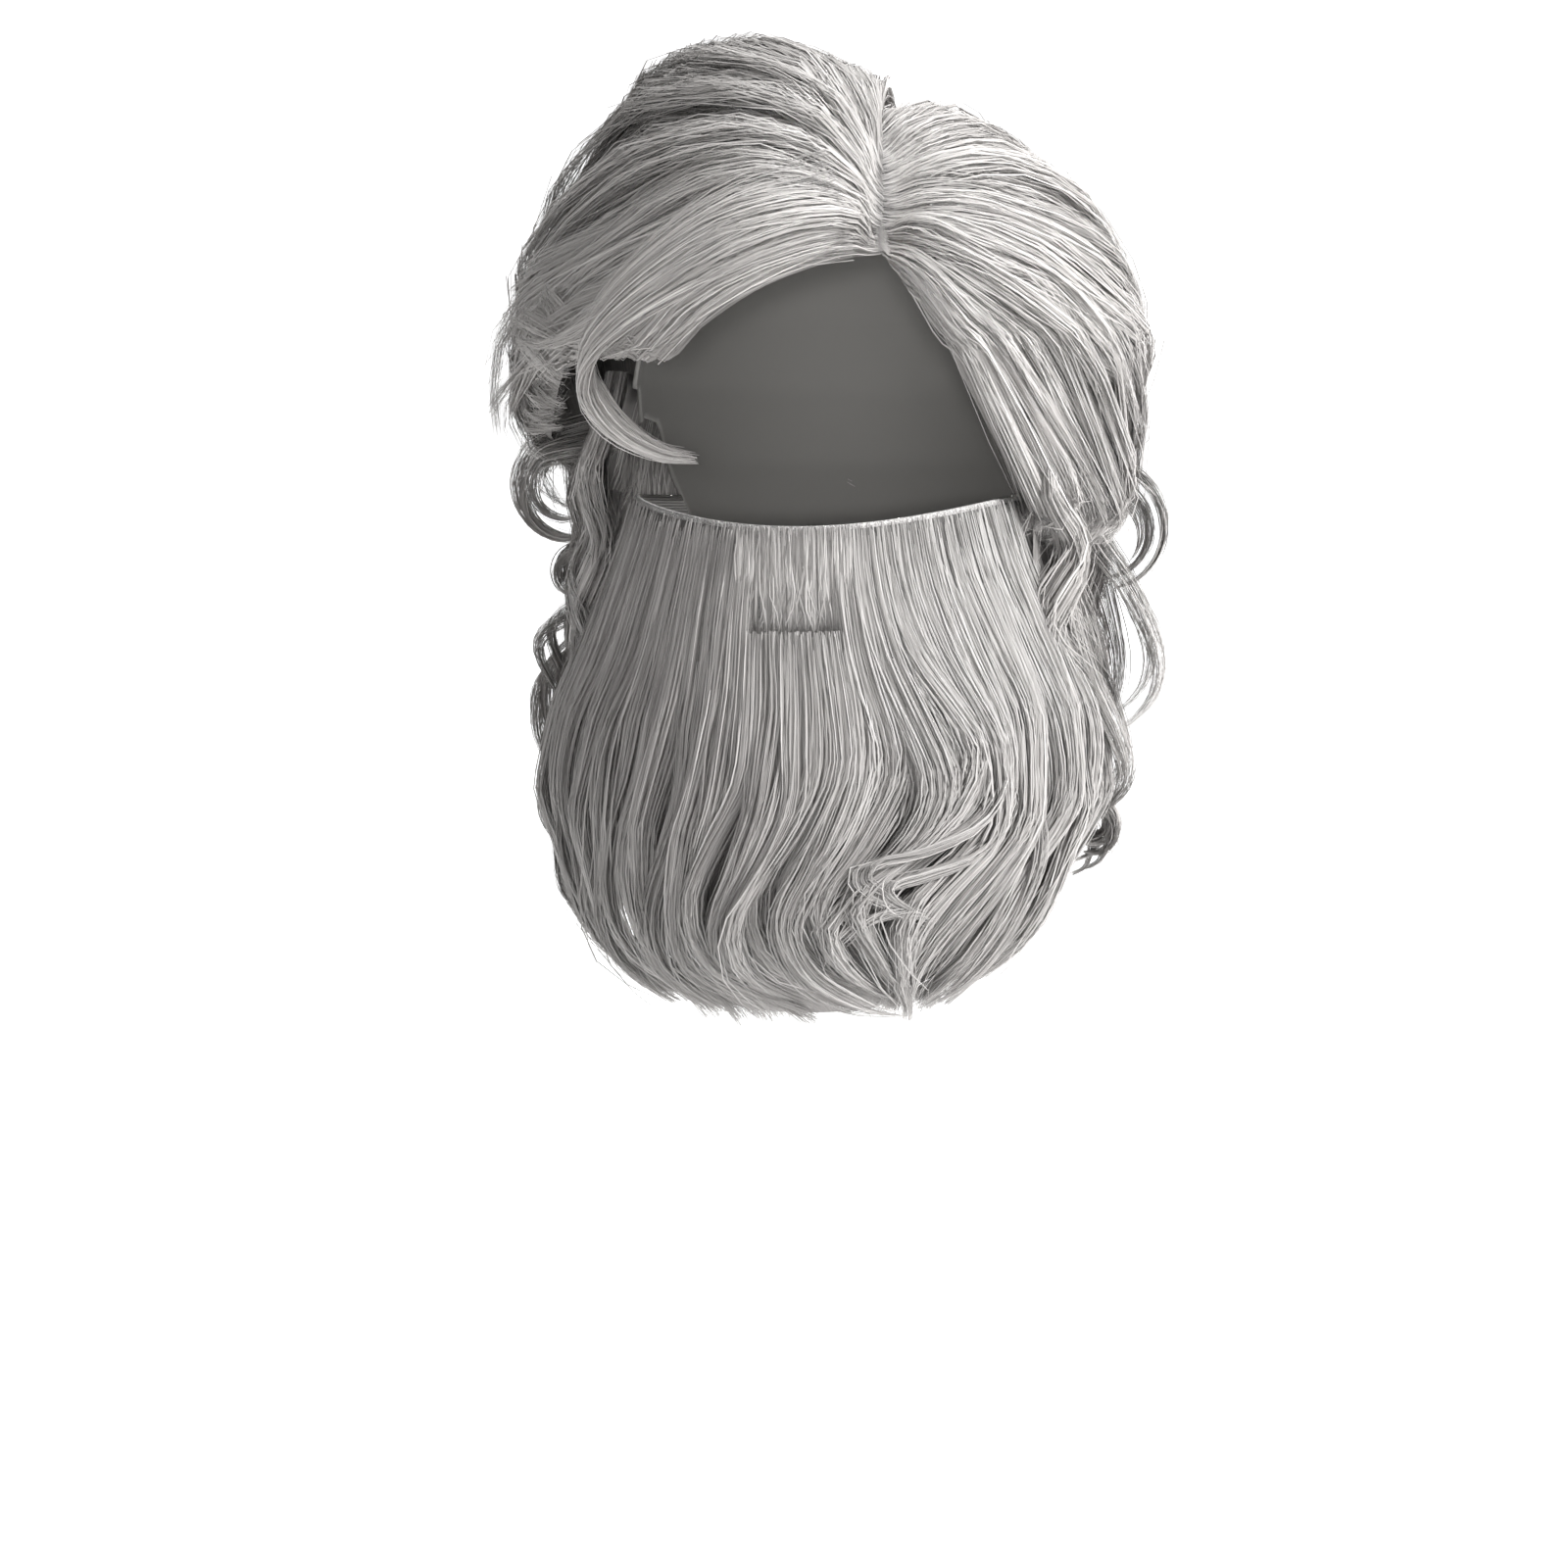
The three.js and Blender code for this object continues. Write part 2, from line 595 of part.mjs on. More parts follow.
function beardBacking() {
  const shell = cut(headSpace(BACKING_WALL), headSpace(0));
  const cornerLevel = BEARD_TOP + BEARD_TOP_RISE;
  const edge = Array.from({ length: 13 }, (_, i) => {
    const x = lerp(-1, 1, i / 12) * HEAD_HALF_WIDTH * 1.1;
    return [x, BEARD_TOP + BEARD_TOP_RISE * Math.min(1, (x / HEAD_HALF_WIDTH) ** 2)];
  });
  const corners = [
    [FAR, cornerLevel],
    [FAR, FAR],
    [-FAR, FAR],
  ];
  const above = frontPrism([[-FAR, cornerLevel], ...edge, ...corners], -FAR, FAR);
  const below = sidePrism([
    [-FAR, -HEAD_HEIGHT],
    [-0.9 * HEAD_HALF_LENGTH, -HEAD_HEIGHT],
    [BACKING_BACK, cornerLevel - BACKING_CORNER_DROP],
    [FAR, cornerLevel - BACKING_CORNER_DROP],
    [FAR, -2 * FAR],
    [-FAR, -2 * FAR],
  ]);
  const behind = block(-FAR, FAR, BACKING_BACK, FAR, -FAR, FAR);
  return cut(shell, above, below, behind, mouth(0));
}

function mouth(grow) {
  const half = MOUTH_WIDTH / 2 + grow;
  const [low, high] = [MOUTH_LEVEL - MOUTH_HEIGHT / 2, MOUTH_LEVEL + MOUTH_HEIGHT / 2];
  return block(-half, half, -FAR, -0.6 * HEAD_HALF_LENGTH, low - grow, high + grow);
}

// Straight trimmed hair over the lip, cut off level at the mouth.
function moustache(grow = 0) {
  const face = BACKING_WALL + CLEARANCE;
  const high = BEARD_TOP - 1 + grow;
  const low = MOUTH_LEVEL + MOUTH_HEIGHT / 2 - grow;
  const half = MOUTH_WIDTH / 2 + grow;
  const slab = block(-half, half, -FAR, 0, low, high);
  const pad = headSpace(face + MOUSTACHE_THICKNESS * 0.7 + grow).intersect(slab);
  const ribs = 7;
  const strips = Array.from({ length: ribs }, (_, i) => {
    const x = lerp(-1, 1, (i + 0.5) / ribs) * (MOUTH_WIDTH / 2);
    const at = (level, share) => {
      const depth = 0.965 * HEAD_HALF_LENGTH + face + MOUSTACHE_THICKNESS * share;
      const curve = Math.sqrt(1 - (x / HEAD_HALF_WIDTH) ** 2);
      return new THREE.Vector3(x, -depth * curve, level);
    };
    const path = [at(high - grow, 0.35), at((low + high) / 2, 0.5), at(low + grow, 0.35)];
    return lock(path, (1.9 * MOUTH_WIDTH) / ribs, MOUSTACHE_THICKNESS, 3, grow);
  });
  const hair = join([pad, ...strips]).intersect(slab);
  return grow > 0 ? hair : cut(hair, headSpace(face));
}

function beardHair() {
  const locks = BEARD_LOCKS.map((row) =>
    lock(beardPath(row), BEARD_LOCK_WIDTH, BEARD_LOCK_THICKNESS, 7),
  );
  const half = MOUTH_WIDTH / 2 + CLEARANCE;
  const overLip = block(-half, half, -FAR, 0, MOUTH_LEVEL, FAR);
  return cut(
    join([beardWall(), ...locks]),
    headSpace(BACKING_WALL + CLEARANCE),
    overLip,
    mouth(CLEARANCE),
  );
}

function strap() {
  const band = cut(headSpace(-CLEARANCE), headSpace(-CLEARANCE - STRAP_WALL));
  const low = BEARD_TOP + STRAP_RISE - STRAP_WIDTH / 2;
  const slab = block(-FAR, FAR, BACKING_BACK - 8, FAR, low, low + STRAP_WIDTH);
  return band.intersect(slab);
}

// The locks of the lower layer on one side, by the sign of the azimuth, between two azimuths measured from
// the front.
function hangingLocks(side, from, to, grow = 0) {
  const chosen = HANGING.filter(({ azimuth }) => {
    const size = Math.abs(azimuth);
    return size >= from && size < to && (side === 0 || Math.sign(azimuth) === side);
  });
  return chosen.map((row) =>
    lock(hangingPath(row), HANG_LOCK_WIDTH, HANG_LOCK_THICKNESS, 7, grow),
  );
}

const SIDE_FROM = 82;
const SIDE_TO = 130;
const WALL_SHARE = 0.8;

function sideHair(side, grow = 0) {
  const curls = SIDE_CURLS.filter((row) => row.side === side).map((row) =>
    lock(curlPath(row), CURL_WIDTH * row.width, CURL_THICKNESS * row.width, 9, grow),
  );
  const [from, to] = side < 0 ? [-SIDE_TO, -SIDE_FROM] : [SIDE_FROM, SIDE_TO];
  const wall = hangingWall(from, to, WALL_SHARE, grow);
  return join([wall, ...hangingLocks(side, 0, SIDE_TO, grow), ...curls]);
}

function backHair(grow = 0) {
  const wall = hangingWall(SIDE_TO, 360 - SIDE_TO, WALL_SHARE, grow);
  return join([wall, ...hangingLocks(0, SIDE_TO, 181, grow)]);
}

const roomForHead = headSpace(CAP_WALL + CLEARANCE);
const beard = beardHair();
const beardRoom = join([
  headSpace(BACKING_WALL + CLEARANCE),
  ...BEARD_LOCKS.map((row) =>
    lock(beardPath(row), BEARD_LOCK_WIDTH, BEARD_LOCK_THICKNESS, 7, CLEARANCE),
  ),
  beardWall(),
]);
const back = cut(backHair(), roomForHead);
const roomForBack = backHair(CLEARANCE);
const sides = [-1, 1].map((side) => cut(sideHair(side), roomForHead, roomForBack, beardRoom));
const roomForSides = [-1, 1].map((side) => sideHair(side, CLEARANCE));

function crown(side) {
  const sign = side === "left" ? -1 : 1;
  const sweeps = CROWN_SWEEPS.filter(({ azimuth }) => Math.sign(azimuth) === sign);
  const locks = sweeps.map((row) =>
    lock(crownPath(row), CROWN_LOCK_WIDTH, CROWN_LOCK_THICKNESS, 9),
  );
  return cut(
    join([crownMass(side), ...locks]).intersect(besidePart(side)),
    roomForHead,
    faceOpening(0),
    roomForBack,
    ...roomForSides,
    beardRoom,
  );
}

const crownLeft = cut(crown("left"), forelock(CLEARANCE));
const crownRight = crown("right");

const MATERIALS = {
  hair: new THREE.MeshStandardMaterial({ color: 0xa9a5a2, roughness: 0.55, metalness: 0 }),
  cap: new THREE.MeshStandardMaterial({ color: 0x6f6c6a, roughness: 0.9, metalness: 0 }),
  backing: new THREE.MeshStandardMaterial({ color: 0x8f8b87, roughness: 0.9, metalness: 0 }),
  strap: new THREE.MeshStandardMaterial({ color: 0x8a8784, roughness: 0.8, metalness: 0 }),
};

const wig = new THREE.Group();

function place(name, shape, material) {
  const made = tidied(shape).getMesh();
  const geometry = new THREE.BufferGeometry();
  geometry.setAttribute("position", new THREE.BufferAttribute(made.vertProperties, made.numProp));
  geometry.setIndex(new THREE.BufferAttribute(made.triVerts, 1));
  geometry.computeVertexNormals();
  const mesh = new THREE.Mesh(geometry, material);
  mesh.name = name;
  wig.add(mesh);
}

place("wig_cap", wigCap(), MATERIALS.cap);
place("crown_hair_left", crownLeft, MATERIALS.hair);
place("crown_hair_right", crownRight, MATERIALS.hair);
place("forelock", cut(forelock(), roomForHead), MATERIALS.hair);
place("side_hair_left", sides[0], MATERIALS.hair);
place("side_hair_right", sides[1], MATERIALS.hair);
place("back_hair", back, MATERIALS.hair);
place("beard_backing", beardBacking(), MATERIALS.backing);
place("moustache", moustache(), MATERIALS.hair);
place("beard_hair", beard, MATERIALS.hair);
place("beard_strap", strap(), MATERIALS.strap);

export default wig;
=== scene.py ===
"""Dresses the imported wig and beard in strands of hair, nets and an elastic strap, on a plain stage."""

import math

import bpy
import numpy as np
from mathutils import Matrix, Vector


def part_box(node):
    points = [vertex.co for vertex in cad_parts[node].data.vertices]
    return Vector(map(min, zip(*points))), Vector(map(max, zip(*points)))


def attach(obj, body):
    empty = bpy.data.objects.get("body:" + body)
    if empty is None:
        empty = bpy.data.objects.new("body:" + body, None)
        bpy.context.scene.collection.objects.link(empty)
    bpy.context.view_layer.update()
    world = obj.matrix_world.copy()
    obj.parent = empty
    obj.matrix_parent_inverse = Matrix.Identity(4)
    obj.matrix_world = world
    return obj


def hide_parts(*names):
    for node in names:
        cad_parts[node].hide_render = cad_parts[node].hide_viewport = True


bl_info = {
    "name": "Grey Wig with Beard",
    "version": (1, 0, 0),
    "blender": (4, 5, 0),
    "location": "3D View > Sidebar > Wig",
    "description": "Builds the hair, net and strap of a grey wavy wig with a full beard",
    "category": "Object",
}

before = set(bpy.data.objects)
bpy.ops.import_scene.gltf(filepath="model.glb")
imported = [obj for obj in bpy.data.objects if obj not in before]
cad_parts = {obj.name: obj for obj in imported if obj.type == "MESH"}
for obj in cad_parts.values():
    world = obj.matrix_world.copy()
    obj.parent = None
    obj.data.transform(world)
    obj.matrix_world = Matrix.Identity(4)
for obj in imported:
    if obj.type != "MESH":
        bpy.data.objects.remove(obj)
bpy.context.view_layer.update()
MM = 0.001
SEED = 24
LEFT = -1
RIGHT = 1
STRAND_MAP = "strand"
BAKE_MAP = "OFBake"

# The head space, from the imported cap
CAP_LOW, CAP_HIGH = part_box("wig_cap")
CAP_WALL = 1.6 * MM
GAP = 0.4 * MM
HALF_WIDTH = (CAP_HIGH[0] - CAP_LOW[0]) / 2 - CAP_WALL
HALF_LENGTH = CAP_HIGH[1]
HEAD_HEIGHT = 238 * MM
WIDEST = -100 * MM
RADII = np.array([HALF_WIDTH, HALF_LENGTH, -WIDEST])

# Wig hair
CROWN_VOLUME = 50 * MM
PART_FRONT_X = 33 * MM
PART_BACK_X = -8 * MM
HANG_TOP = -92 * MM
HANG_LENGTH = 190 * MM
HANG_VOLUME = 24 * MM
CURL_WIDTH = 16 * MM
CURL_THICKNESS = 7 * MM
FORELOCK_WIDTH = 17 * MM
FORELOCK_THICKNESS = 6 * MM
CAP_SET_BACK = 3 * MM

# Beard
BEARD_TOP = -150 * MM
BEARD_TOP_RISE = 12 * MM
BEARD_LENGTH = 184 * MM
BEARD_HALF_WIDTH = 108 * MM
BEARD_FRONT = 124 * MM
BEARD_DEPTH = 26 * MM
MOUTH_WIDTH = 42 * MM
MOUTH_HEIGHT = 6 * MM
MOUTH_LEVEL = -187 * MM
MOUTH_LOW = MOUTH_LEVEL - MOUTH_HEIGHT / 2
MOUTH_HIGH = MOUTH_LEVEL + MOUTH_HEIGHT / 2
BACKING_WALL = 1.5 * MM
BACKING_BACK = -13 * MM
BACKING_CORNER_DROP = 34 * MM
STRAP_RISE = 6 * MM
STRAP_WIDTH = 12 * MM
STRAP_WALL = 1.2 * MM
STRAP_RIB = 1.1 * MM

# Strands of each kind at full density
CROWN_STRANDS = {LEFT: 6000, RIGHT: 5200}
CURL_STRANDS = 210
WAVE_STRANDS = 240
FORELOCK_STRANDS = 230
BEARD_STRANDS = 5600
MOUSTACHE_STRANDS = 2600

# The crown's two sides: how many degrees a strand slants back, the share of that over the widest level, how
# much thinner the hairline is, the thickness at the lower end, how far tips flick out, and the share of the
# table from which lengths differ
CROWN_LEAN = {LEFT: 9, RIGHT: 22}
CROWN_AHEAD = {LEFT: 0.0, RIGHT: 0.6}
HAIRLINE_THINNING = {LEFT: 0.0, RIGHT: 0.55}
CROWN_LOWER_SHARE = {LEFT: 1.0, RIGHT: 0.86}
LOOSE_TIP = {LEFT: 11 * MM, RIGHT: 6 * MM}
UNEVEN_FROM = {LEFT: 0.45, RIGHT: 0.02}

# Stage, in metres
FLOOR_LEVEL = -0.545
FLOOR_FRONT = -3.0
FLOOR_LENGTH = 6.5
BACKDROP_HEIGHT = 3.5
STAGE_HALF_WIDTH = 6
VIEW_CENTRE = (-0.019, 0, -0.25)
LIGHT_CENTRE = (0, 0, -0.14)
OPENING_CENTRE = (0, 0, -0.1)
SENSOR_WIDTH = 36

HEAD_SECTIONS = np.array([
    # drop, width, front, back: shares of the head's height, half width and half length
    (0.0, 0.02, 0.02, 0.02),
    (0.014, 0.25, 0.25, 0.25),
    (0.045, 0.45, 0.45, 0.46),
    (0.1, 0.65, 0.65, 0.66),
    (0.18, 0.82, 0.81, 0.84),
    (0.28, 0.94, 0.93, 0.96),
    (0.4, 1.0, 0.99, 1.0),
    (0.525, 1.0, 0.99, 0.97),
    (0.63, 0.975, 0.98, 0.88),
    (0.785, 0.87, 0.96, 0.71),
    (0.9, 0.73, 0.9, 0.62),
    (1.0, 0.6, 0.74, 0.6),
])

FACE_OUTLINE = np.array([
    # across, drop: shares of the head's half width and height, in the front view
    (-0.97, 0.42),
    (-0.9, 0.35),
    (-0.58, 0.27),
    (-0.29, 0.206),
    (0.25, 0.172),
    (0.47, 0.16),
    (0.58, 0.19),
    (0.72, 0.26),
    (0.87, 0.395),
    (1.0, 0.545),
])

CAP_RIM = np.array([
    # along the head's length, drop of the cap's lower edge
    (-1.2, 0.5),
    (-0.3, 0.5),
    (-0.12, 0.53),
    (0.02, 0.45),
    (0.25, 0.46),
    (0.5, 0.66),
    (1.2, 0.72),
])

CROWN_PROFILE = np.array([
    # angle from straight up, hair thickness left and right of the part as shares of the volume
    (0, 0.86, 0.42),
    (15, 0.96, 0.52),
    (30, 0.96, 0.58),
    (45, 0.86, 0.61),
    (60, 0.92, 0.7),
    (75, 0.94, 0.85),
    (110, 0.98, 0.86),
])

CROWN_ROUND = np.array([
    # azimuth from the front, share of the thickness there
    (0, 0.3),
    (30, 0.36),
    (60, 0.72),
    (90, 1.0),
    (135, 0.84),
    (180, 0.7),
])

# Sweeps of the crown: start along the part, azimuth and drop of the lower end, radius of the turn under
SWEEPS = {LEFT: np.array([
    (0.0, -42, 0.3, 0.1),
    (0.012, -52, 0.35, 0.14),
    (0.03, -72, 0.46, 0.2),
    (0.055, -92, 0.52, 0.22),
    (0.09, -111, 0.54, 0.24),
    (0.15, -130, 0.56, 0.26),
    (0.26, -149, 0.59, 0.26),
    (0.44, -168, 0.6, 0.24),
    (0.62, -184, 0.6, 0.24),
]), RIGHT: np.array([
    (0.0, 62, 0.63, 0.1),
    (0.015, 70, 0.59, 0.2),
    (0.04, 84, 0.55, 0.34),
    (0.075, 101, 0.53, 0.38),
    (0.12, 119, 0.55, 0.3),
    (0.2, 138, 0.58, 0.24),
    (0.33, 156, 0.6, 0.26),
    (0.5, 173, 0.6, 0.24),
    (0.68, 184, 0.6, 0.24),
])}

# Open curls at the sides: side, circle's middle out and down, radius, start and end angles, how far the
# start and the end lie behind the middle of the head, and the width as a share
SIDE_CURLS = np.array([
    (-1, 0.4, 0.2, 0.25, 80, -85, -0.02, 0.14, 1.15),
    (-1, 0.33, 0.36, 0.11, 90, -100, 0.16, 0.06, 0.8),
    (1, 0.34, 0.29, 0.31, 75, -50, 0.1, 0.04, 0.7),
    (1, 0.3, 0.86, 0.14, 80, -120, 0.02, 0.1, 0.7),
])

# Waves that bulge at the sides: side, width as a share, how far behind, then how far out of the head's side
# and down from its widest level, as shares of the half width and of the hanging length
SIDE_WAVES = (
    (-1, 0.7, 0.02, ((0.2, 0.36), (0.3, 0.42), (0.5, 0.46), (0.54, 0.51), (0.41, 0.6), (0.3, 0.66))),
    (-1, 1.0, 0.12, ((0.2, 0.4), (0.3, 0.48), (0.55, 0.57), (0.58, 0.64), (0.53, 0.71), (0.38, 0.8))),
    (-1, 0.9, 0.06, ((0.2, 0.64), (0.32, 0.73), (0.49, 0.82), (0.46, 0.9), (0.26, 0.96))),
    (1, 1.3, 0.08, ((0.18, 0.12), (0.3, 0.26), (0.5, 0.37), (0.65, 0.5), (0.62, 0.59), (0.44, 0.66))),
    (1, 1.2, 0.0, ((0.18, 0.36), (0.3, 0.52), (0.48, 0.66), (0.53, 0.74), (0.45, 0.8), (0.22, 0.86))),
    (1, 0.6, 0.1, ((0.2, 0.66), (0.27, 0.76), (0.4, 0.84), (0.36, 0.92), (0.2, 0.95))),
)

# The lower layer: node, first and last azimuth, strands, locks, side
LOWER_HAIR = (
    ("side_hair_left", -130, -70, 1800, 9, LEFT),
    ("side_hair_right", 70, 130, 1800, 9, RIGHT),
    ("back_hair", 126, 234, 3400, 18, 0),
)

# A free lock's size at even steps from its root to its tip
CURL_PROFILE = (1.3, 1.1, 1.0, 0.85, 0.6, 0.4, 0.15)
WAVE_PROFILE = (1.3, 1.3, 1.2, 1.0, 0.8, 0.5, 0.15)
FORELOCK_PROFILE = (2.6, 2.2, 1.7, 1.3, 1.05, 0.8, 0.55, 0.3)
BEARD_LOCK_PROFILE = (0.5, 1, 1.1, 1, 0.9, 0.7, 0.2)

FORELOCK = np.array([
    # across, ahead, drop
    (0.2, 0.9, 0.145),
    (-0.27, 1.02, 0.18),
    (-0.7, 1.02, 0.258),
    (-0.98, 0.96, 0.34),
    (-1.03, 0.88, 0.41),
    (-0.9, 0.85, 0.475),
    (-0.68, 0.88, 0.517),
    (-0.47, 0.94, 0.528),
])

BEARD_SECTIONS = np.array([
    # fall, width, front, depth
    (0.0, 0.72, 0.79, 0.2),
    (0.1, 0.78, 0.82, 0.35),
    (0.2, 0.85, 0.86, 0.55),
    (0.4, 0.97, 0.93, 0.85),
    (0.6, 1.0, 0.99, 1.0),
    (0.8, 0.94, 1.0, 1.1),
    (0.92, 0.87, 0.95, 1.0),
    (1.0, 0.78, 0.86, 0.6),
])

BEARD_FLOW = np.array([
    # across, then a lock's drift across at each eighth of the fall
    (-1.0, 0, 0, -0.02, -0.05, -0.06, -0.035, 0.02, 0.12, 0.28),
    (-0.55, 0, 0, -0.005, -0.03, -0.055, -0.08, -0.08, -0.03, 0.1),
    (-0.3, 0, 0, 0.005, 0.012, 0, -0.04, -0.08, -0.07, 0.025),
    (0.0, 0, 0, 0.01, 0.025, 0.01, -0.05, -0.11, -0.07, 0.12),
    (0.12, 0, 0, 0.015, 0.035, 0.04, -0.03, -0.11, -0.03, 0.22),
    (0.3, 0, 0.005, 0.04, 0.11, 0.16, 0.09, -0.1, -0.05, 0.06),
    (0.55, 0, 0.005, 0.045, 0.085, 0.09, 0.045, -0.06, -0.17, -0.2),
    (1.0, 0, 0.005, 0.035, 0.04, 0.0, -0.05, -0.16, -0.33, -0.54),
])

# Locks that lie over the beard and wind round one eye: width in millimetres, then across, fall and height
# over the beard in millimetres
BEARD_LOCKS = (
    (13, ((0.5, 0.42, -4), (0.53, 0.51, 0), (0.45, 0.59, 3), (0.31, 0.64, 4), (0.2, 0.66, 5),
          (0.19, 0.69, 5), (0.26, 0.725, 5), (0.37, 0.775, 2))),
    (10, ((0.56, 0.47, -4), (0.57, 0.57, 0), (0.46, 0.655, 3), (0.33, 0.685, 4), (0.25, 0.7, 5),
          (0.26, 0.725, 5), (0.38, 0.78, 1))),
    (5, ((0.1, 0.86, -1), (0.13, 0.81, 2), (0.2, 0.765, 4), (0.29, 0.75, 3), (0.37, 0.765, 0),
         (0.41, 0.79, -3))),
    (14, ((0.14, 0.52, -3), (0.07, 0.66, 2), (0.01, 0.77, 4), (0.06, 0.87, 5), (0.19, 0.93, 5),
          (0.34, 0.965, 3))),
    (12, ((0.68, 0.58, -3), (0.65, 0.7, 2), (0.58, 0.81, 4), (0.48, 0.9, 5), (0.37, 0.955, 3))),
)


def smoothstep(x, low, high):
    share = np.clip((x - low) / (high - low), 0, 1)
    return share * share * (3 - 2 * share)


def unit(vectors):
    return vectors / np.maximum(np.linalg.norm(vectors, axis=-1, keepdims=True), 1e-12)


def column(table, index, where):
    return np.interp(where, table[:, 0], table[:, index])


def spline(points, shares):
    """Points at the given shares of a smooth curve through each row of control points."""
    first = 2 * points[:, :1] - points[:, 1:2]
    last = 2 * points[:, -1:] - points[:, -2:-1]
    knots = np.concatenate([first, points, last], axis=1)
    place = np.clip(shares, 0, 1) * (points.shape[1] - 1)
    span = np.minimum(place.astype(int), points.shape[1] - 2)
    f = (place - span)[..., None]
    rows = np.arange(len(points))[:, None]
    a, b, c, d = (knots[rows, span + k] for k in range(4))
    return 0.5 * (2 * b + (c - a) * f + (2 * a - 5 * b + 4 * c - d) * f**2 + (3 * b - 3 * c + d - a) * f**3)


def direction(azimuth, polar):
    turn, tilt = np.radians(azimuth), np.radians(polar)
    return np.stack([np.sin(tilt) * np.sin(turn), -np.sin(tilt) * np.cos(turn), np.cos(tilt)], axis=-1)


def over_head(toward, stand_off):
    normal = unit(toward / RADII)
    return toward * RADII + normal * stand_off[..., None] + np.array([0, 0, WIDEST])


def beside_head(azimuth, level, stand_off):
    rise = np.clip(1 - level / WIDEST, 0, 1)
    point = over_head(direction(azimuth, np.degrees(np.arccos(rise))), stand_off)
    point[..., 2] = np.where(level < WIDEST, level, point[..., 2])
    return point


def part_x(y):
    return PART_FRONT_X + (PART_BACK_X - PART_FRONT_X) * (y / HALF_LENGTH + 1) / 2


def crown_volume(side, toward):
    polar = np.degrees(np.arccos(np.clip(toward[..., 2], -1, 1)))
    azimuth = np.abs(np.degrees(np.arctan2(toward[..., 0], -toward[..., 1])))
    around = column(CROWN_ROUND, 1, azimuth)
    level = 1 + (around - 1) * np.sin(np.radians(np.minimum(polar, 90)))
    surface = toward * RADII
    from_part = np.abs(surface[..., 0] - part_x(surface[..., 1])) / HALF_WIDTH
    dip = 0.4 + 0.6 * smoothstep(from_part, 0, 0.6)
    return CROWN_VOLUME * column(CROWN_PROFILE, 1 if side < 0 else 2, polar) * level * dip


def crown_paths(side, sweeps, aside, lift):
    """Control points of strands that run from the part to the lower edge of the crown and turn under."""
    start, azimuth, drop, curl = sweeps
    y = (-0.78 + 1.28 * start) * HALF_LENGTH
    root = np.stack([(part_x(y) + side * aside) / HALF_WIDTH, y / HALF_LENGTH, np.zeros_like(y)], axis=-1)
    root[:, 2] = np.sqrt(np.maximum(0.1, 1 - (root**2).sum(axis=1)))
    lean = side * CROWN_LEAN[side] * (1 - smoothstep(np.abs(azimuth), 60, 150))
    ahead = CROWN_AHEAD[side]
    end = direction(azimuth - lean * ahead, np.full_like(azimuth, 90.0))
    points = []
    hairline = 1 - HAIRLINE_THINNING[side] * (1 - smoothstep(start, 0, 0.035))
    for share in (0, 0.07, 0.16, 0.3, 0.47, 0.65, 0.83):
        toward = unit(root + (end - root) * share)
        root_bed = 0.12 + 0.5 * smoothstep(start, 0, 0.12)
        bed = root_bed + (1 - root_bed) * smoothstep(share, 0, 0.17)
        height = crown_volume(side, toward) * hairline + lift
        points.append(over_head(toward, np.maximum(height * bed, 1 * MM)))
    below = azimuth + lean * (1 - ahead)
    end = direction(below, np.full_like(azimuth, 90.0))
    volume = crown_volume(side, end) * hairline * CROWN_LOWER_SHARE[side] + lift
    radius = curl * CROWN_VOLUME
    lower = beside_head(below, -drop * HEAD_HEIGHT + radius, volume)
    middle = lower - end * radius[:, None]
    for turn in np.radians((0, 45, 90, 125)):
        point = middle + end * (radius * math.cos(turn))[:, None]
        point[:, 2] -= radius * math.sin(turn)
        points.append(point)
    return np.stack(points, axis=1)


def frames(paths, outward):
    """The direction along each path, the one across it and the one out of the hair, at each point."""
    tangent = unit(np.gradient(paths, axis=1))
    out = unit(outward - (outward * tangent).sum(axis=-1, keepdims=True) * tangent)
    return tangent, np.cross(out, tangent), out


def from_axis(paths):
    """Directions away from the upright axis of the head, or from its middle over the widest level."""
    hub = np.zeros_like(paths)
    hub[..., 2] = np.minimum(paths[..., 2], WIDEST)
    return paths - hub


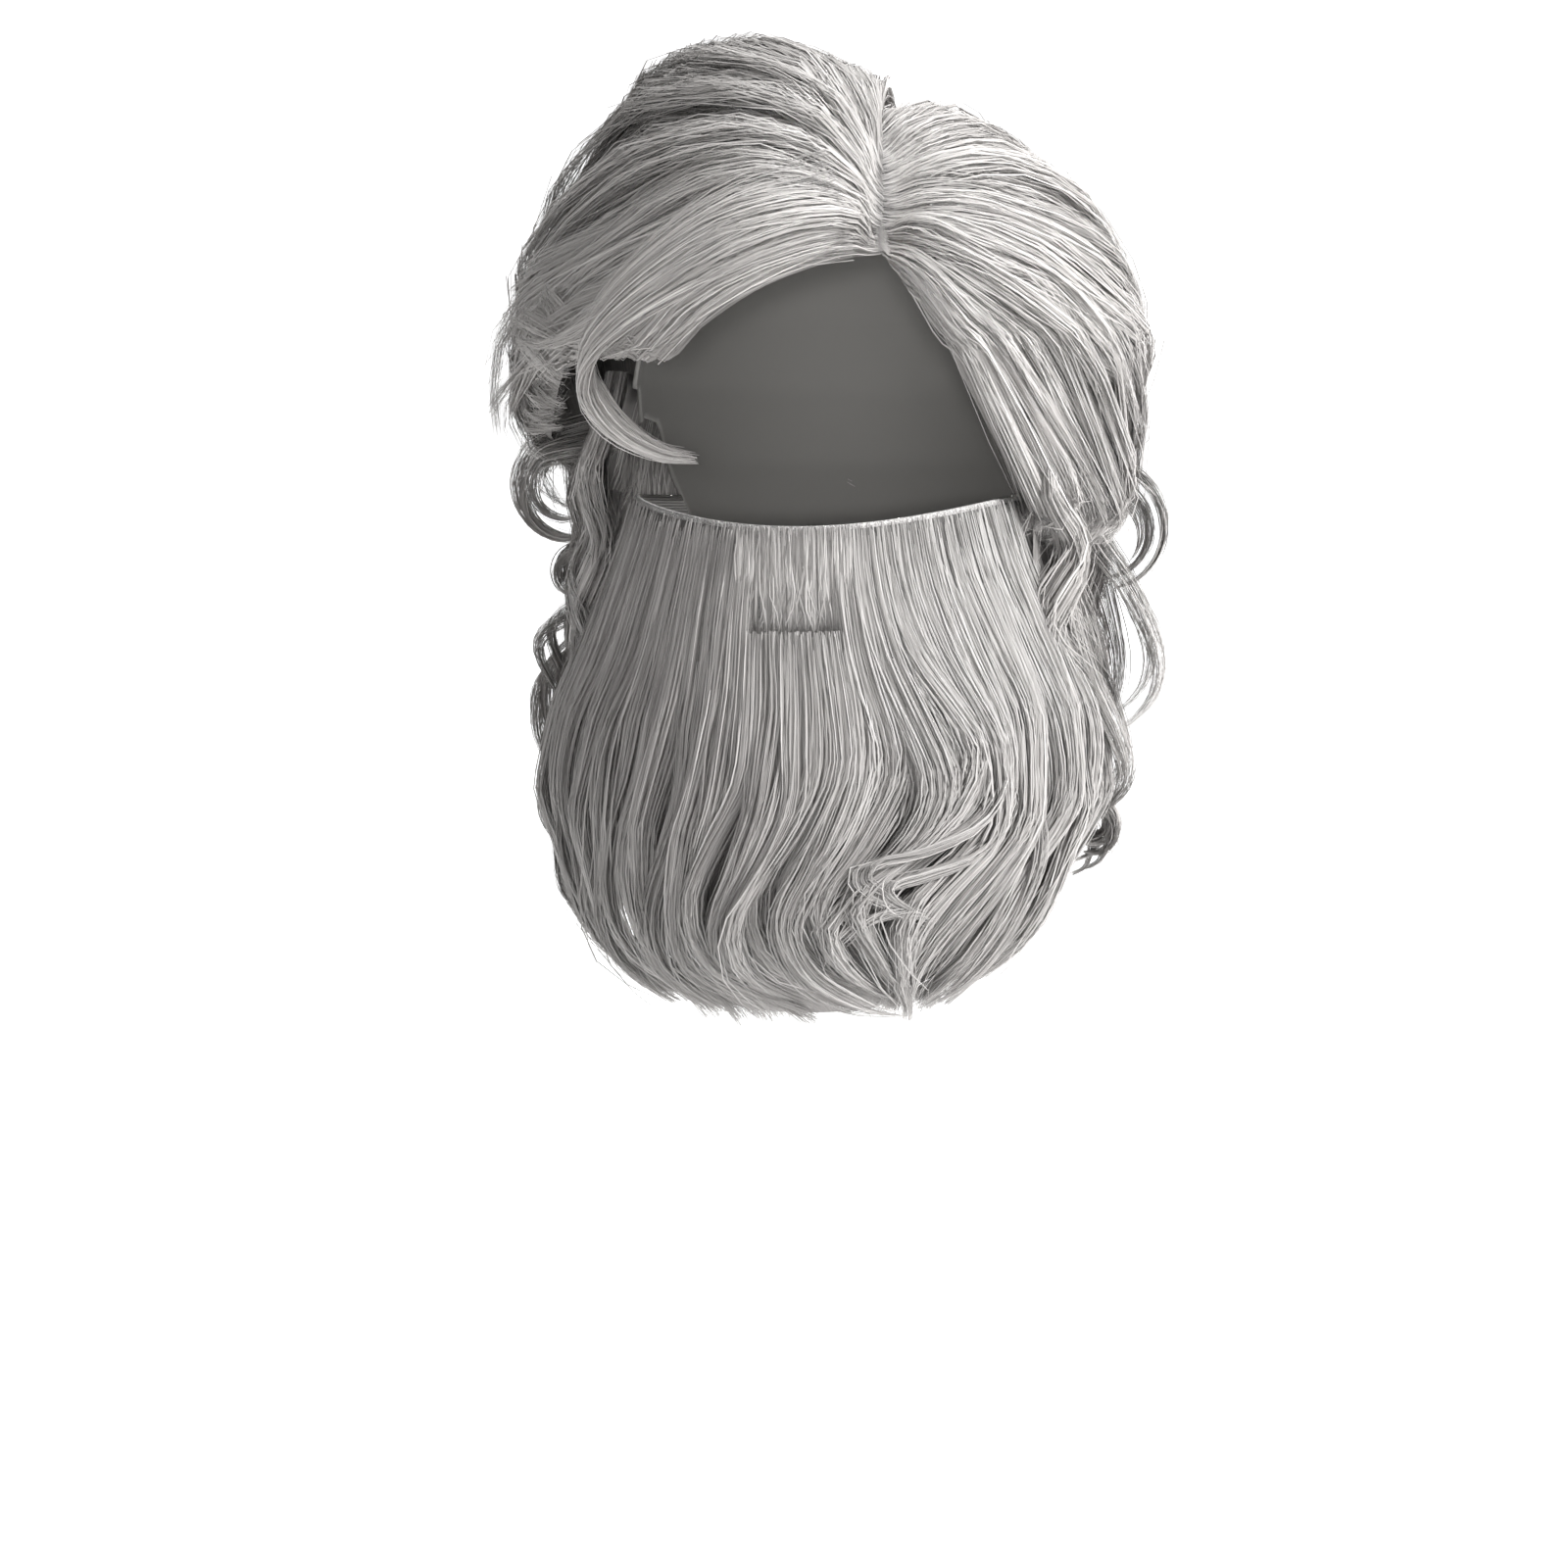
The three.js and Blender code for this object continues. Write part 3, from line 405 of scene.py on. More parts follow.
class Strands:
    """Strands of hair that are gathered for one piece: points, width and a tone for each."""

    def __init__(self, rng):
        self.rng = rng
        self.sets = []

    def add(self, paths, radius, tone, taper=0.7):
        shares = np.linspace(0, 1, paths.shape[1])
        slim = 1 - 0.7 * smoothstep(shares, taper, 1)
        root = 0.6 + 0.4 * smoothstep(shares, 0, 0.08)
        self.sets.append((paths, radius[:, None] * slim * root, tone))

    def mesh(self, name):
        """One mesh of narrow ribbons, with each strand's tone and length along it as its map."""
        verts, quads, maps = [], [], []
        base = 0
        for paths, radii, tone in self.sets:
            count, steps, _ = paths.shape
            _, across, out = frames(paths, from_axis(paths))
            roll = self.rng.normal(0, 0.42, (count, 1, 1))
            side = np.cos(roll) * across + np.sin(roll) * out
            edges = [paths + radii[..., None] * side * sign for sign in (-1, 1)]
            verts.append(np.stack(edges, axis=2).reshape(-1, 3))
            index = base + np.arange(count * steps * 2).reshape(count, steps, 2)
            corners = [index[:, :-1, 0], index[:, :-1, 1], index[:, 1:, 1], index[:, 1:, 0]]
            quads.append(np.stack(corners, axis=-1).reshape(-1, 4))
            along = np.linspace(0, 1, steps)
            low = np.broadcast_to(along[None, :-1], corners[0].shape)
            high = np.broadcast_to(along[None, 1:], corners[0].shape)
            shade = np.broadcast_to(tone[:, None], corners[0].shape)
            at = [np.stack([shade, v], axis=-1) for v in (low, low, high, high)]
            maps.append(np.stack(at, axis=-2).reshape(-1, 2))
            base += count * steps * 2
        verts, quads, uv = np.concatenate(verts), np.concatenate(quads), np.concatenate(maps)
        mesh = bpy.data.meshes.new(name)
        mesh.vertices.add(len(verts))
        mesh.vertices.foreach_set("co", verts.astype(np.float32).ravel())
        mesh.loops.add(quads.size)
        mesh.loops.foreach_set("vertex_index", quads.astype(np.int32).ravel())
        mesh.polygons.add(len(quads))
        mesh.polygons.foreach_set("loop_start", (np.arange(len(quads)) * 4).astype(np.int32))
        for layer in (STRAND_MAP, BAKE_MAP):
            mesh.uv_layers.new(name=layer).data.foreach_set("uv", uv.astype(np.float32).ravel())
        mesh.update(calc_edges=True)
        mesh.validate()
        mesh.polygons.foreach_set("use_smooth", np.ones(len(mesh.polygons), dtype=bool))
        return mesh


def thickness(rng, count, middle, spread=0.3):
    return middle * np.clip(rng.normal(1, spread, count), 0.45, 1.8)


def bonds(rng, count, settings):
    """How firmly each strand gathers into its lock: most do, some lie between the locks."""
    return settings.clumping * (1 - 0.85 * rng.uniform(0, 1, (count, 1)) ** 3)


def waves(rng, locks, steps, length, period, height, start=0.15, full=0.6):
    """Sideways and outward sway of each lock at each point of its length, in step with its neighbours."""
    along = np.linspace(0, 1, steps)
    build = smoothstep(along, start, full)
    phase = rng.uniform(0, 2 * np.pi, 2) + np.cumsum(rng.normal(0, 0.9, (locks, 2)), axis=0)
    pace = 2 * np.pi * length / (period * rng.uniform(0.85, 1.15, (locks, 2)))
    sway = np.sin(pace[:, :1] * along + phase[:, :1]) * build * height
    lift = np.sin(pace[:, 1:] * along + phase[:, 1:]) * build * height * 0.45
    return sway, lift


def crown_grid(side, where, shares, depth, aside, longer=0.0):
    """Points of sweeps: the place in the table for each, and the shares of its length."""
    table = SWEEPS[side]
    sweeps = [np.interp(where, np.arange(len(table)), table[:, k]) for k in range(4)]
    sweeps[2] = sweeps[2] + longer
    return spline(crown_paths(side, sweeps, aside, depth), shares)


def crown_strands(rng, side, settings):
    """Two layers of strands that radiate from the front of the part: a full one, and looser locks on it."""
    strands = Strands(rng)
    last = len(SWEEPS[side]) - 1
    steps = 15
    along = np.linspace(0, 1, steps)
    layers = (
        # share of the strands, locks, shortest reach, lift, its spread, depth, flick at the tip
        (0.56, 26, 0.93, 0.0, 1.3 * MM, 7 * MM, 3 * MM),
        (0.44, 34, 0.55, 2.8 * MM, 2.2 * MM, 3.5 * MM, LOOSE_TIP[side]),
    )
    for share, locks, shortest, lift, spread, deep, flick in layers:
        count = int(CROWN_STRANDS[side] * share * settings.density)
        width = last / locks
        centre = (np.arange(locks) + rng.uniform(0.2, 0.8, locks)) * width
        lock = rng.integers(0, locks, count)
        off = np.clip(rng.normal(0, 0.5, count), -1.1, 1.1)
        own = np.clip(centre[lock] + off * width, 0, last)
        reach = rng.uniform(shortest, 1, locks)
        reach = np.where(centre < 0.18 * last, np.maximum(reach, 0.9), reach)[lock]
        shares = along[None] * (reach * (1 - rng.beta(1, 6, count) * 0.3))[:, None]
        from_row = UNEVEN_FROM[side] * last
        uneven = smoothstep(centre[lock], from_row, from_row + 0.15 * last)
        longer = rng.uniform(-0.05, 0.14, locks)[lock] * uneven
        calm = 0.35 + 0.65 * smoothstep(centre[lock], 0.1 * last, 0.4 * last)
        depth = -rng.beta(1.1, 1.8, count) * deep + 0.5 * MM
        aside = (rng.beta(0.9, 1.6, count) * 12 - 1) * MM
        free = crown_grid(side, own, shares, depth, aside, longer)
        bound = crown_grid(side, centre[lock], shares, depth, aside, longer)
        gather = bonds(rng, count, settings)[..., None] * smoothstep(along, 0.25, 1)[None, :, None]
        paths = free + (bound - free) * gather
        _, across, out = frames(paths, from_axis(paths))
        sway, rise = waves(rng, locks, steps, 0.26, 0.12, 5.5 * MM, 0.25, 0.8)
        hook = rng.uniform(-1, 1, locks) * 9 * MM
        sideways = (sway[lock] + hook[lock][:, None] * smoothstep(along, 0.65, 1)[None] ** 2) * calm[:, None]
        crest = 3.2 * MM * (1 - off**2)[:, None] * smoothstep(along, 0.1, 0.35)[None]
        raised = rng.normal(lift, spread, locks)[lock][:, None] * smoothstep(along, 0.06, 0.4)[None]
        flicked = (flick * rng.uniform(0, 1, locks) ** 2)[lock][:, None] * smoothstep(along, 0.7, 1)[None]
        outward = np.maximum(rise[lock] + raised + flicked + crest - 1.5 * MM, -5 * MM)
        paths = paths + across * sideways[..., None] + out * outward[..., None]
        tone = rng.uniform(0, 1, count) * 0.6 + 0.4 * rng.uniform(0, 1, locks)[lock]
        paths = fuzzed(rng, paths, across, out, settings)
        strands.add(paths, thickness(rng, count, settings.strand), tone)
    return strands


def crown_sheet(side):
    count = 70
    where = np.linspace(0.1, len(SWEEPS[side]) - 1, count)
    shares = np.tile(np.linspace(0, 0.84, 34), (count, 1))
    rows = crown_grid(side, where, shares, np.full(count, -7.5 * MM), np.full(count, -1 * MM))
    return rows.transpose(1, 0, 2)


def fuzzed(rng, paths, across, out, settings):
    """Small waves of single strands, and the few that fly away from the rest."""
    count, steps, _ = paths.shape
    along = np.linspace(0, 1, steps)
    small = rng.normal(0, 0.5 * MM, (2, count, 1)) * np.sin(
        rng.uniform(4, 11, (2, count, 1)) * along + rng.uniform(0, 6.3, (2, count, 1))
    )
    stray = (rng.uniform(0, 1, count) < settings.flyaway) * rng.uniform(2, 7, count) * MM
    wander = stray[:, None] * smoothstep(along, 0.2, 1)
    swing = np.sin(rng.uniform(2, 7, (count, 1)) * along + rng.uniform(0, 6.3, (count, 1)))
    sideways = small[0] + wander * swing
    outward = small[1] * 0.7 + wander
    return paths + across * sideways[..., None] + out * outward[..., None]


def hanging_surface(azimuth, level, length, spread, depth):
    """Points of the lower layer, which stands further from the head towards its ends."""
    along = np.clip((HANG_TOP - level) / length, 0, 1)
    rise = 0.35 + (spread - 0.35) * smoothstep(along, -0.12, 0.38)
    return beside_head(azimuth, level, np.maximum(rise * HANG_VOLUME + depth, 2.2 * MM))


def near_face(azimuth):
    return smoothstep(np.minimum(np.abs(azimuth), 360 - np.abs(azimuth)), 75, 105)


def hanging_strands(rng, first, last, count, locks, settings):
    """Wavy strands that hang from under the crown between two azimuths, counted on past the back."""
    strands = Strands(rng)
    steps = 18
    along = np.linspace(0, 1, steps)
    lock = rng.integers(0, locks, count)
    width = abs(last - first) / locks
    centre = first + width * (np.arange(locks) + rng.uniform(0.25, 0.75, locks))
    off = np.clip(rng.normal(0, 0.55, count), -1.2, 1.2)
    own = np.clip(centre[lock] + off * width, first, last)
    reach = (0.8 + 0.2 * near_face(centre)) * rng.uniform(0.8, 1.02, locks)
    spread = (0.8 + 0.25 * near_face(centre)) * rng.uniform(0.85, 1.1, locks)
    length = reach[lock] * HANG_LENGTH * (1 - rng.beta(1, 5, count) * 0.35)
    level = HANG_TOP - along[None] * length[:, None]
    gather = bonds(rng, count, settings) * smoothstep(along, 0.2, 1)[None]
    azimuth = own[:, None] + (centre[lock] - own)[:, None] * gather
    sway, lift = waves(rng, locks, steps, HANG_LENGTH, 84 * MM, 8.5 * MM, 0.1, 0.45)
    azimuth = azimuth + np.degrees(sway[lock] / (HALF_LENGTH * 1.2))
    depth = -rng.beta(1.1, 1.8, count) * 9 * MM
    flick = 9 * MM * smoothstep(along, 0.76, 1) * rng.uniform(-0.6, 1.2, locks)[lock][:, None]
    crest = 3 * MM * (1 - off**2)[:, None] * smoothstep(along, 0.1, 0.4)[None]
    paths = hanging_surface(azimuth, level, length[:, None], spread[lock][:, None],
                            depth[:, None] + lift[lock] + flick + crest)
    _, across, out = frames(paths, from_axis(paths))
    strands.add(fuzzed(rng, paths, across, out, settings), thickness(rng, count, settings.strand),
                rng.uniform(0, 1, count) * 0.7 + 0.3 * rng.uniform(0, 1, locks)[lock])
    return strands


def hanging_sheet(first, last):
    azimuth = np.linspace(first, last, 40)[None] * np.ones((24, 1))
    length = (0.78 + 0.2 * near_face(azimuth)) * HANG_LENGTH * 0.7
    level = HANG_TOP - np.linspace(0, 1, 24)[:, None] * length
    spread = 0.8 + 0.25 * near_face(azimuth)
    return hanging_surface(azimuth, level, length, spread, np.full(azimuth.shape, -9.5 * MM))


def lock_strands(strands, path, width, depth, count, steps, across, settings, profile, uneven=0.25):
    """Strands of one free lock along a path. The profile gives the size of its oval section."""
    rng = strands.rng
    along = np.linspace(0, 1, steps)
    reach = 1 - rng.beta(1, 3, count) * uneven
    centre = spline(np.repeat(path[None], count, axis=0), along[None] * reach[:, None])
    tangent = unit(np.gradient(centre, axis=1))
    side = unit(across - (across * tangent).sum(axis=-1, keepdims=True) * tangent)
    out = np.cross(tangent, side)
    turn = rng.uniform(0, 2 * np.pi, count)
    ray = np.sqrt(rng.uniform(0, 1, count))
    full = np.interp(along, np.linspace(0, 1, len(profile)), profile)
    twist = turn[:, None] + rng.normal(0, 0.5, (count, 1)) * along
    aside = np.cos(twist) * ray[:, None] * full * width / 2
    above = np.sin(twist) * ray[:, None] * full * depth / 2
    paths = centre + side * aside[..., None] + out * above[..., None]
    calm = fuzzed(rng, paths, side, out, settings)
    paths = paths + (calm - paths) * np.minimum(1, full + 0.2)[None, :, None]
    strands.add(paths, thickness(rng, count, settings.strand * 0.9), rng.uniform(0, 1, count))


def curl_path(row, size=1.0, shift=0.0, further=0.0):
    """Path of an open curl: a root in the side hair, most of a turn beside it, and a tip."""
    side, out, drop, radius, start, end, behind, tail, _ = row
    radius = radius * HALF_WIDTH * size
    middle = np.array([side * HALF_WIDTH * (1 + out), 0, WIDEST - drop * HANG_LENGTH + shift])
    turns = np.radians(np.linspace(start, end - further, 7))
    back = np.linspace(behind, tail, 7) * HALF_LENGTH + shift * 1.5
    spiral = radius * np.linspace(1.05, 0.85, 7)
    arc = middle + np.stack([side * np.cos(turns) * spiral, back, np.sin(turns) * spiral], axis=-1)
    inner = side * HALF_WIDTH * 1.12
    root = np.array([inner, arc[0, 1], arc[0, 2] + 0.3 * radius])
    return np.concatenate([root[None], arc])


def side_waves(strands, side, settings):
    """Each bulging wave in three unequal locks that part from each other."""
    rng = strands.rng
    for sign, width, behind, points in SIDE_WAVES:
        if sign != side:
            continue
        out, drop = np.array(((0.12, points[0][1] - 0.16), *points)).T
        swing = np.sin(np.linspace(0, 1.4 * np.pi, len(out)))
        for share, bulge in ((0.38, 1.0), (0.32, 0.86), (0.3, 0.55)):
            x = side * HALF_WIDTH * (1 + 0.2 + (out - 0.2) * bulge * rng.uniform(0.92, 1.04))
            z = WIDEST - (drop + rng.uniform(-0.03, 0.03)) * HANG_LENGTH
            y = behind * HALF_LENGTH + swing * rng.uniform(-16, 16) * MM + rng.uniform(-10, 10) * MM
            path = np.stack([x, y, z], axis=-1)
            wide = width * (0.55 + share)
            count = int(WAVE_STRANDS * share * settings.density)
            lock_strands(strands, path, CURL_WIDTH * wide, CURL_THICKNESS * 1.2 * wide, count, 18,
                         np.array([0.0, 1.0, 0.2]), settings, WAVE_PROFILE)


def side_curls(strands, side, settings):
    """Each open curl in three unequal locks that part from each other."""
    rng = strands.rng
    for row in SIDE_CURLS[SIDE_CURLS[:, 0] == side]:
        for size, share in ((1.06, 0.42), (0.88, 0.34), (0.72, 0.24)):
            scale = size * rng.uniform(0.95, 1.05)
            path = curl_path(row, scale, rng.uniform(-3, 3) * MM, rng.uniform(-20, 50))
            path[:, 1] += rng.uniform(-9, 9) * MM
            wide = row[8] * (0.5 + share)
            count = int(CURL_STRANDS * share * settings.density)
            lock_strands(strands, path, CURL_WIDTH * 0.8 * wide, CURL_THICKNESS * 1.3 * wide, count, 24,
                         np.array([0.0, 1.0, 0.3]), settings, CURL_PROFILE)


def on_beard(across, fall, set_in):
    """Points of the beard's surface by their place across it and their fall, set in from it."""
    at = [column(BEARD_SECTIONS, k, fall) for k in range(3)]
    turn = np.radians(80 * across)
    half = at[1] * BEARD_HALF_WIDTH - set_in
    front = at[2] * BEARD_FRONT - set_in
    rise = BEARD_TOP_RISE * np.sin(turn) ** 2 * (1 - fall)
    tuck = 0.15 * BEARD_LENGTH * np.abs(across) ** 3 * smoothstep(fall, 0.4, 1)
    level = BEARD_TOP + rise - fall * BEARD_LENGTH + tuck
    return np.stack([half * np.sin(turn), -front * np.cos(turn), level], axis=-1)


def beard_drift(across):
    return np.stack([np.interp(across, BEARD_FLOW[:, 0], step) for step in BEARD_FLOW[:, 1:].T], axis=1)


def beard_strands(rng, settings):
    """Straight at the top, then in one flow of waves that grow to the right and turn in at the bottom."""
    strands = Strands(rng)
    count = int(BEARD_STRANDS * settings.density)
    steps = 17
    locks = 40
    along = np.linspace(0, 1, steps)
    lock = rng.integers(0, locks, count)
    width = 2 / locks
    centre = np.linspace(-0.99, 0.99, locks) + rng.normal(0, 0.2, locks) * width
    off = np.clip(rng.normal(0, 0.6, count), -1.2, 1.2)
    own = np.clip(centre[lock] + off * width, -1.04, 1.04)
    top = rng.beta(0.7, 1.6, count) * 0.42
    half_mouth = (MOUTH_WIDTH / 2 + 1 * MM) / (BEARD_FRONT * 0.8 * 1.4)
    under_lip = np.abs(own) < half_mouth * rng.uniform(0.8, 1.04, count)
    top = np.where(under_lip, np.maximum(top, 0.204 + 0.05 * rng.beta(0.7, 2, count)), top)
    bottom = (1.04 - 0.05 * np.abs(centre) ** 3) * rng.uniform(0.97, 1.02, locks)
    end = bottom[lock] * (1 - rng.beta(1, 6, count) * 0.2)
    fall = top[:, None] + (np.maximum(end, top + 0.2) - top)[:, None] * along
    spread = 1 - 0.45 * smoothstep(fall, 0.82, 1)
    gather = bonds(rng, count, settings) * smoothstep(fall, 0.3, 0.8) * spread
    across = own[:, None] + (centre[lock] - own)[:, None] * gather
    middle = own + (centre[lock] - own) * 0.5
    drift = beard_drift(middle) * rng.uniform(0.85, 1.15, (locks, 1))[lock]
    late = rng.normal(0, 0.025, locks)[lock][:, None] * smoothstep(fall, 0.2, 0.6)
    flow = spline(drift[..., None], fall + late)[..., 0]
    phase = rng.uniform(0, 2 * np.pi, locks)[lock][:, None]
    pace = 2 * np.pi * rng.uniform(1.8, 2.6, locks)[lock][:, None]
    across = across + flow + 0.013 * np.sin(pace * fall + phase) * smoothstep(fall, 0.25, 0.6)
    lift = 2.6 * MM * np.cos(pace * fall + phase) * smoothstep(fall, 0.3, 0.7)
    layer = rng.uniform(-1.5, 2.5, locks)[lock][:, None] * MM + 3 * MM * (1 - off**2)[:, None]
    lift = lift + layer * smoothstep(fall, 0.22, 0.5)
    hook = BEARD_DEPTH * smoothstep(fall, 0.84, 1.04) * rng.uniform(0.2, 1.0, locks)[lock][:, None]
    depth = rng.beta(1.1, 2.0, count) * 8 * MM
    set_in = depth[:, None] * (0.35 + 0.65 * smoothstep(fall, 0.05, 0.4)) + hook - lift
    paths = on_beard(across, fall - 0.07 * smoothstep(fall, 0.84, 1.08), set_in)
    _, sideways, out = frames(paths, from_axis(paths))
    strands.add(fuzzed(rng, paths, sideways, out, settings), thickness(rng, count, settings.strand),
                rng.uniform(0, 1, count) * 0.7 + 0.3 * rng.uniform(0, 1, locks)[lock], 0.75)
    for width, row in BEARD_LOCKS:
        across, fall, height = np.array(row).T
        path = on_beard(across, fall, -height * MM)
        lock_strands(strands, path, width * MM, 4 * MM, int(4.5 * width * settings.density), 20,
                     np.array([1.0, 0.0, 0.4]), settings, BEARD_LOCK_PROFILE)
    return strands


def beard_sheet():
    place = np.linspace(-1.0, 1.0, 90)
    fall = np.linspace(0.01, 0.968, 72)[:, None] * (1 - 0.04 * np.abs(place) ** 3)
    across = place + spline(beard_drift(place)[..., None], fall.T)[..., 0].T
    set_in = 9 * MM * (0.35 + 0.65 * smoothstep(fall, 0.05, 0.4)) + 19 * MM * smoothstep(fall, 0.7, 0.96)
    return on_beard(across, fall, set_in)


def moustache_strands(rng, settings):
    """Short hair that lies straight down over the lip, as far as the mouth."""
    strands = Strands(rng)
    count = int(MOUSTACHE_STRANDS * settings.density)
    steps = 6
    along = np.linspace(0, 1, steps)
    x = rng.uniform(-0.5, 0.5, count) * MOUTH_WIDTH
    part = -0.3 * MOUTH_WIDTH
    top = BEARD_TOP - rng.beta(0.8, 1.8, count) * 22 * MM
    bottom = MOUTH_LEVEL + rng.uniform(-0.8, 2.2, count) * MM
    level = top[:, None] + (bottom - top)[:, None] * along
    lean = np.sign(x - part) * 0.9 * MM
    wide = np.clip(x[:, None] + lean[:, None] * along, -MOUTH_WIDTH / 2, MOUTH_WIDTH / 2)
    face = 0.965 * HALF_LENGTH + BACKING_WALL + GAP + rng.uniform(1.0, 4.6, count) * MM
    face = face + 3 * MM * (2 * x / MOUTH_WIDTH) ** 2
    bulge = 1 + 0.006 * np.sin(np.pi * along)
    y = -face[:, None] * bulge * np.sqrt(1 - (wide / HALF_WIDTH) ** 2)
    paths = np.stack([wide, y, level], axis=-1)
    _, sideways, out = frames(paths, from_axis(paths))
    calm = fuzzed(rng, paths, sideways, out, settings)
    paths = paths + (calm - paths) * 0.5
    strands.add(paths, thickness(rng, count, settings.strand), rng.uniform(0, 1, count), 0.95)
    return strands


# Materials


def socket(group, name, kind, direction, value=None):
    made = group.interface.new_socket(name=name, in_out=direction, socket_type=kind)
    if value is not None:
        made.default_value = value


def strand_map(tree):
    """The map of a strand: its tone across, and the way from the root to the tip."""
    place = tree.nodes.new("ShaderNodeUVMap")
    place.uv_map = STRAND_MAP
    return place.outputs["UV"]


def parts_of(tree, vector):
    parts = tree.nodes.new("ShaderNodeSeparateXYZ")
    tree.links.new(vector, parts.inputs[0])
    return parts.outputs


def mixed(tree, factor, low, high, blend="MIX"):
    """A mix of colours. Each input is a value or the output of another node."""
    mix = tree.nodes.new("ShaderNodeMix")
    mix.data_type = "RGBA"
    mix.blend_type = blend
    for place, value in (("Factor", factor), (6, low), (7, high)):
        if isinstance(value, bpy.types.NodeSocket):
            tree.links.new(value, mix.inputs[place])
        else:
            mix.inputs[place].default_value = value
    return mix.outputs[2]


def remapped(tree, value, **ends):
    """A value moved to another range. The ends are from_min, from_max, to_min and to_max."""
    ramp = tree.nodes.new("ShaderNodeMapRange")
    for name, end in ends.items():
        ramp.inputs[name.replace("_", " ").title()].default_value = end
    tree.links.new(value, ramp.inputs["Value"])
    return ramp.outputs["Result"]


def bumped(tree, shader, height, strength, distance):
    bump = tree.nodes.new("ShaderNodeBump")
    bump.inputs["Strength"].default_value = strength
    bump.inputs["Distance"].default_value = distance
    tree.links.new(height, bump.inputs["Height"])
    tree.links.new(bump.outputs["Normal"], shader.inputs["Normal"])


def strand_tone_group():
    """Tone that differs from strand to strand and runs from the root to the tip, with painted shade at the
    root.
    """
    group = bpy.data.node_groups.new("strand_tone", "ShaderNodeTree")
    socket(group, "Dark", "NodeSocketColor", "INPUT")
    socket(group, "Light", "NodeSocketColor", "INPUT")
    socket(group, "Painted Root Shade", "NodeSocketFloat", "INPUT", 0.7)
    socket(group, "Color", "NodeSocketColor", "OUTPUT")
    given = group.nodes.new("NodeGroupInput").outputs
    result = group.nodes.new("NodeGroupOutput").inputs
    parts = parts_of(group, strand_map(group))
    tone = mixed(group, parts["X"], given["Dark"], given["Light"])
    # Painted shade at the root of each strand.
    root = remapped(group, parts["Y"], from_max=0.16)
    root.node.interpolation_type = "SMOOTHSTEP"
    group.links.new(given["Painted Root Shade"], root.node.inputs["To Min"])
    group.links.new(mixed(group, 1.0, tone, root, "MULTIPLY"), result["Color"])


def net_group():
    """A fine crossing net in object space, as a mask of its threads."""
    group = bpy.data.node_groups.new("net_mesh", "ShaderNodeTree")
    socket(group, "Scale", "NodeSocketFloat", "INPUT", 700.0)
    socket(group, "Mask", "NodeSocketFloat", "OUTPUT")
    given = group.nodes.new("NodeGroupInput").outputs
    result = group.nodes.new("NodeGroupOutput").inputs
    place = group.nodes.new("ShaderNodeTexCoord")
    cells = group.nodes.new("ShaderNodeTexVoronoi")
    cells.feature = "DISTANCE_TO_EDGE"
    group.links.new(place.outputs["Object"], cells.inputs["Vector"])
    group.links.new(given["Scale"], cells.inputs["Scale"])
    edge = remapped(group, cells.outputs["Distance"], from_min=0.02, from_max=0.16, to_min=1.0, to_max=0.0)
    group.links.new(edge, result["Mask"])


def new_material(name, roughness):
    material = bpy.data.materials.new(name)
    material.use_nodes = True
    shader = material.node_tree.nodes["Principled BSDF"]
    shader.inputs["Roughness"].default_value = roughness
    return material.node_tree, shader


def hair_material(name, dark, light, painted_root_shade):
    tree, shader = new_material(name, 0.5)
    tone = tree.nodes.new("ShaderNodeGroup")
    tone.node_tree = bpy.data.node_groups["strand_tone"]
    tone.inputs["Dark"].default_value = (*dark, 1)
    tone.inputs["Light"].default_value = (*light, 1)
    tone.inputs["Painted Root Shade"].default_value = painted_root_shade
    tree.links.new(tone.outputs["Color"], shader.inputs["Base Color"])
    shader.inputs["Specular IOR Level"].default_value = 0.4


def underlayer_material(color):
    """Dense hair under the strands, darker than the darkest strands as painted shade: fine streaks along
    their way that darken where they sink, partly strand tone and partly painted shade, and painted shade at
    the root.
    """
    tree, shader = new_material("hair_underlayer", 0.7)
    place = strand_map(tree)
    stretch = tree.nodes.new("ShaderNodeMapping")
    stretch.inputs["Scale"].default_value = (420, 7, 1)
    tree.links.new(place, stretch.inputs["Vector"])
    streaks = tree.nodes.new("ShaderNodeTexNoise")
    streaks.inputs["Scale"].default_value = 1.0
    tree.links.new(stretch.outputs["Vector"], streaks.inputs["Vector"])
    ramp = tree.nodes.new("ShaderNodeValToRGB")
    ramp.color_ramp.elements[0].position = 0.36
    ramp.color_ramp.elements[0].color = (*[c * 0.6 for c in color], 1)
    ramp.color_ramp.elements[1].position = 0.62
    ramp.color_ramp.elements[1].color = (*color, 1)
    tree.links.new(streaks.outputs["Fac"], ramp.inputs["Fac"])
    # Painted shade towards the root of the sheet.
    root = remapped(tree, parts_of(tree, place)["Y"], from_max=0.12, to_min=0.4)
    tone = mixed(tree, 1.0, ramp.outputs["Color"], root, "MULTIPLY")
    tree.links.new(tone, shader.inputs["Base Color"])
    bumped(tree, shader, streaks.outputs["Fac"], 0.6, 0.5 * MM)


def net_material(name, thread, hole, scale):
    tree, shader = new_material(name, 0.85)
    net = tree.nodes.new("ShaderNodeGroup")
    net.node_tree = bpy.data.node_groups["net_mesh"]
    net.inputs["Scale"].default_value = scale
    mask = net.outputs["Mask"]
    # Painted shade: the holes between the threads are darker than the threads.
    tree.links.new(mixed(tree, mask, (*hole, 1), (*thread, 1)), shader.inputs["Base Color"])
    bumped(tree, shader, mask, 0.5, 0.3 * MM)


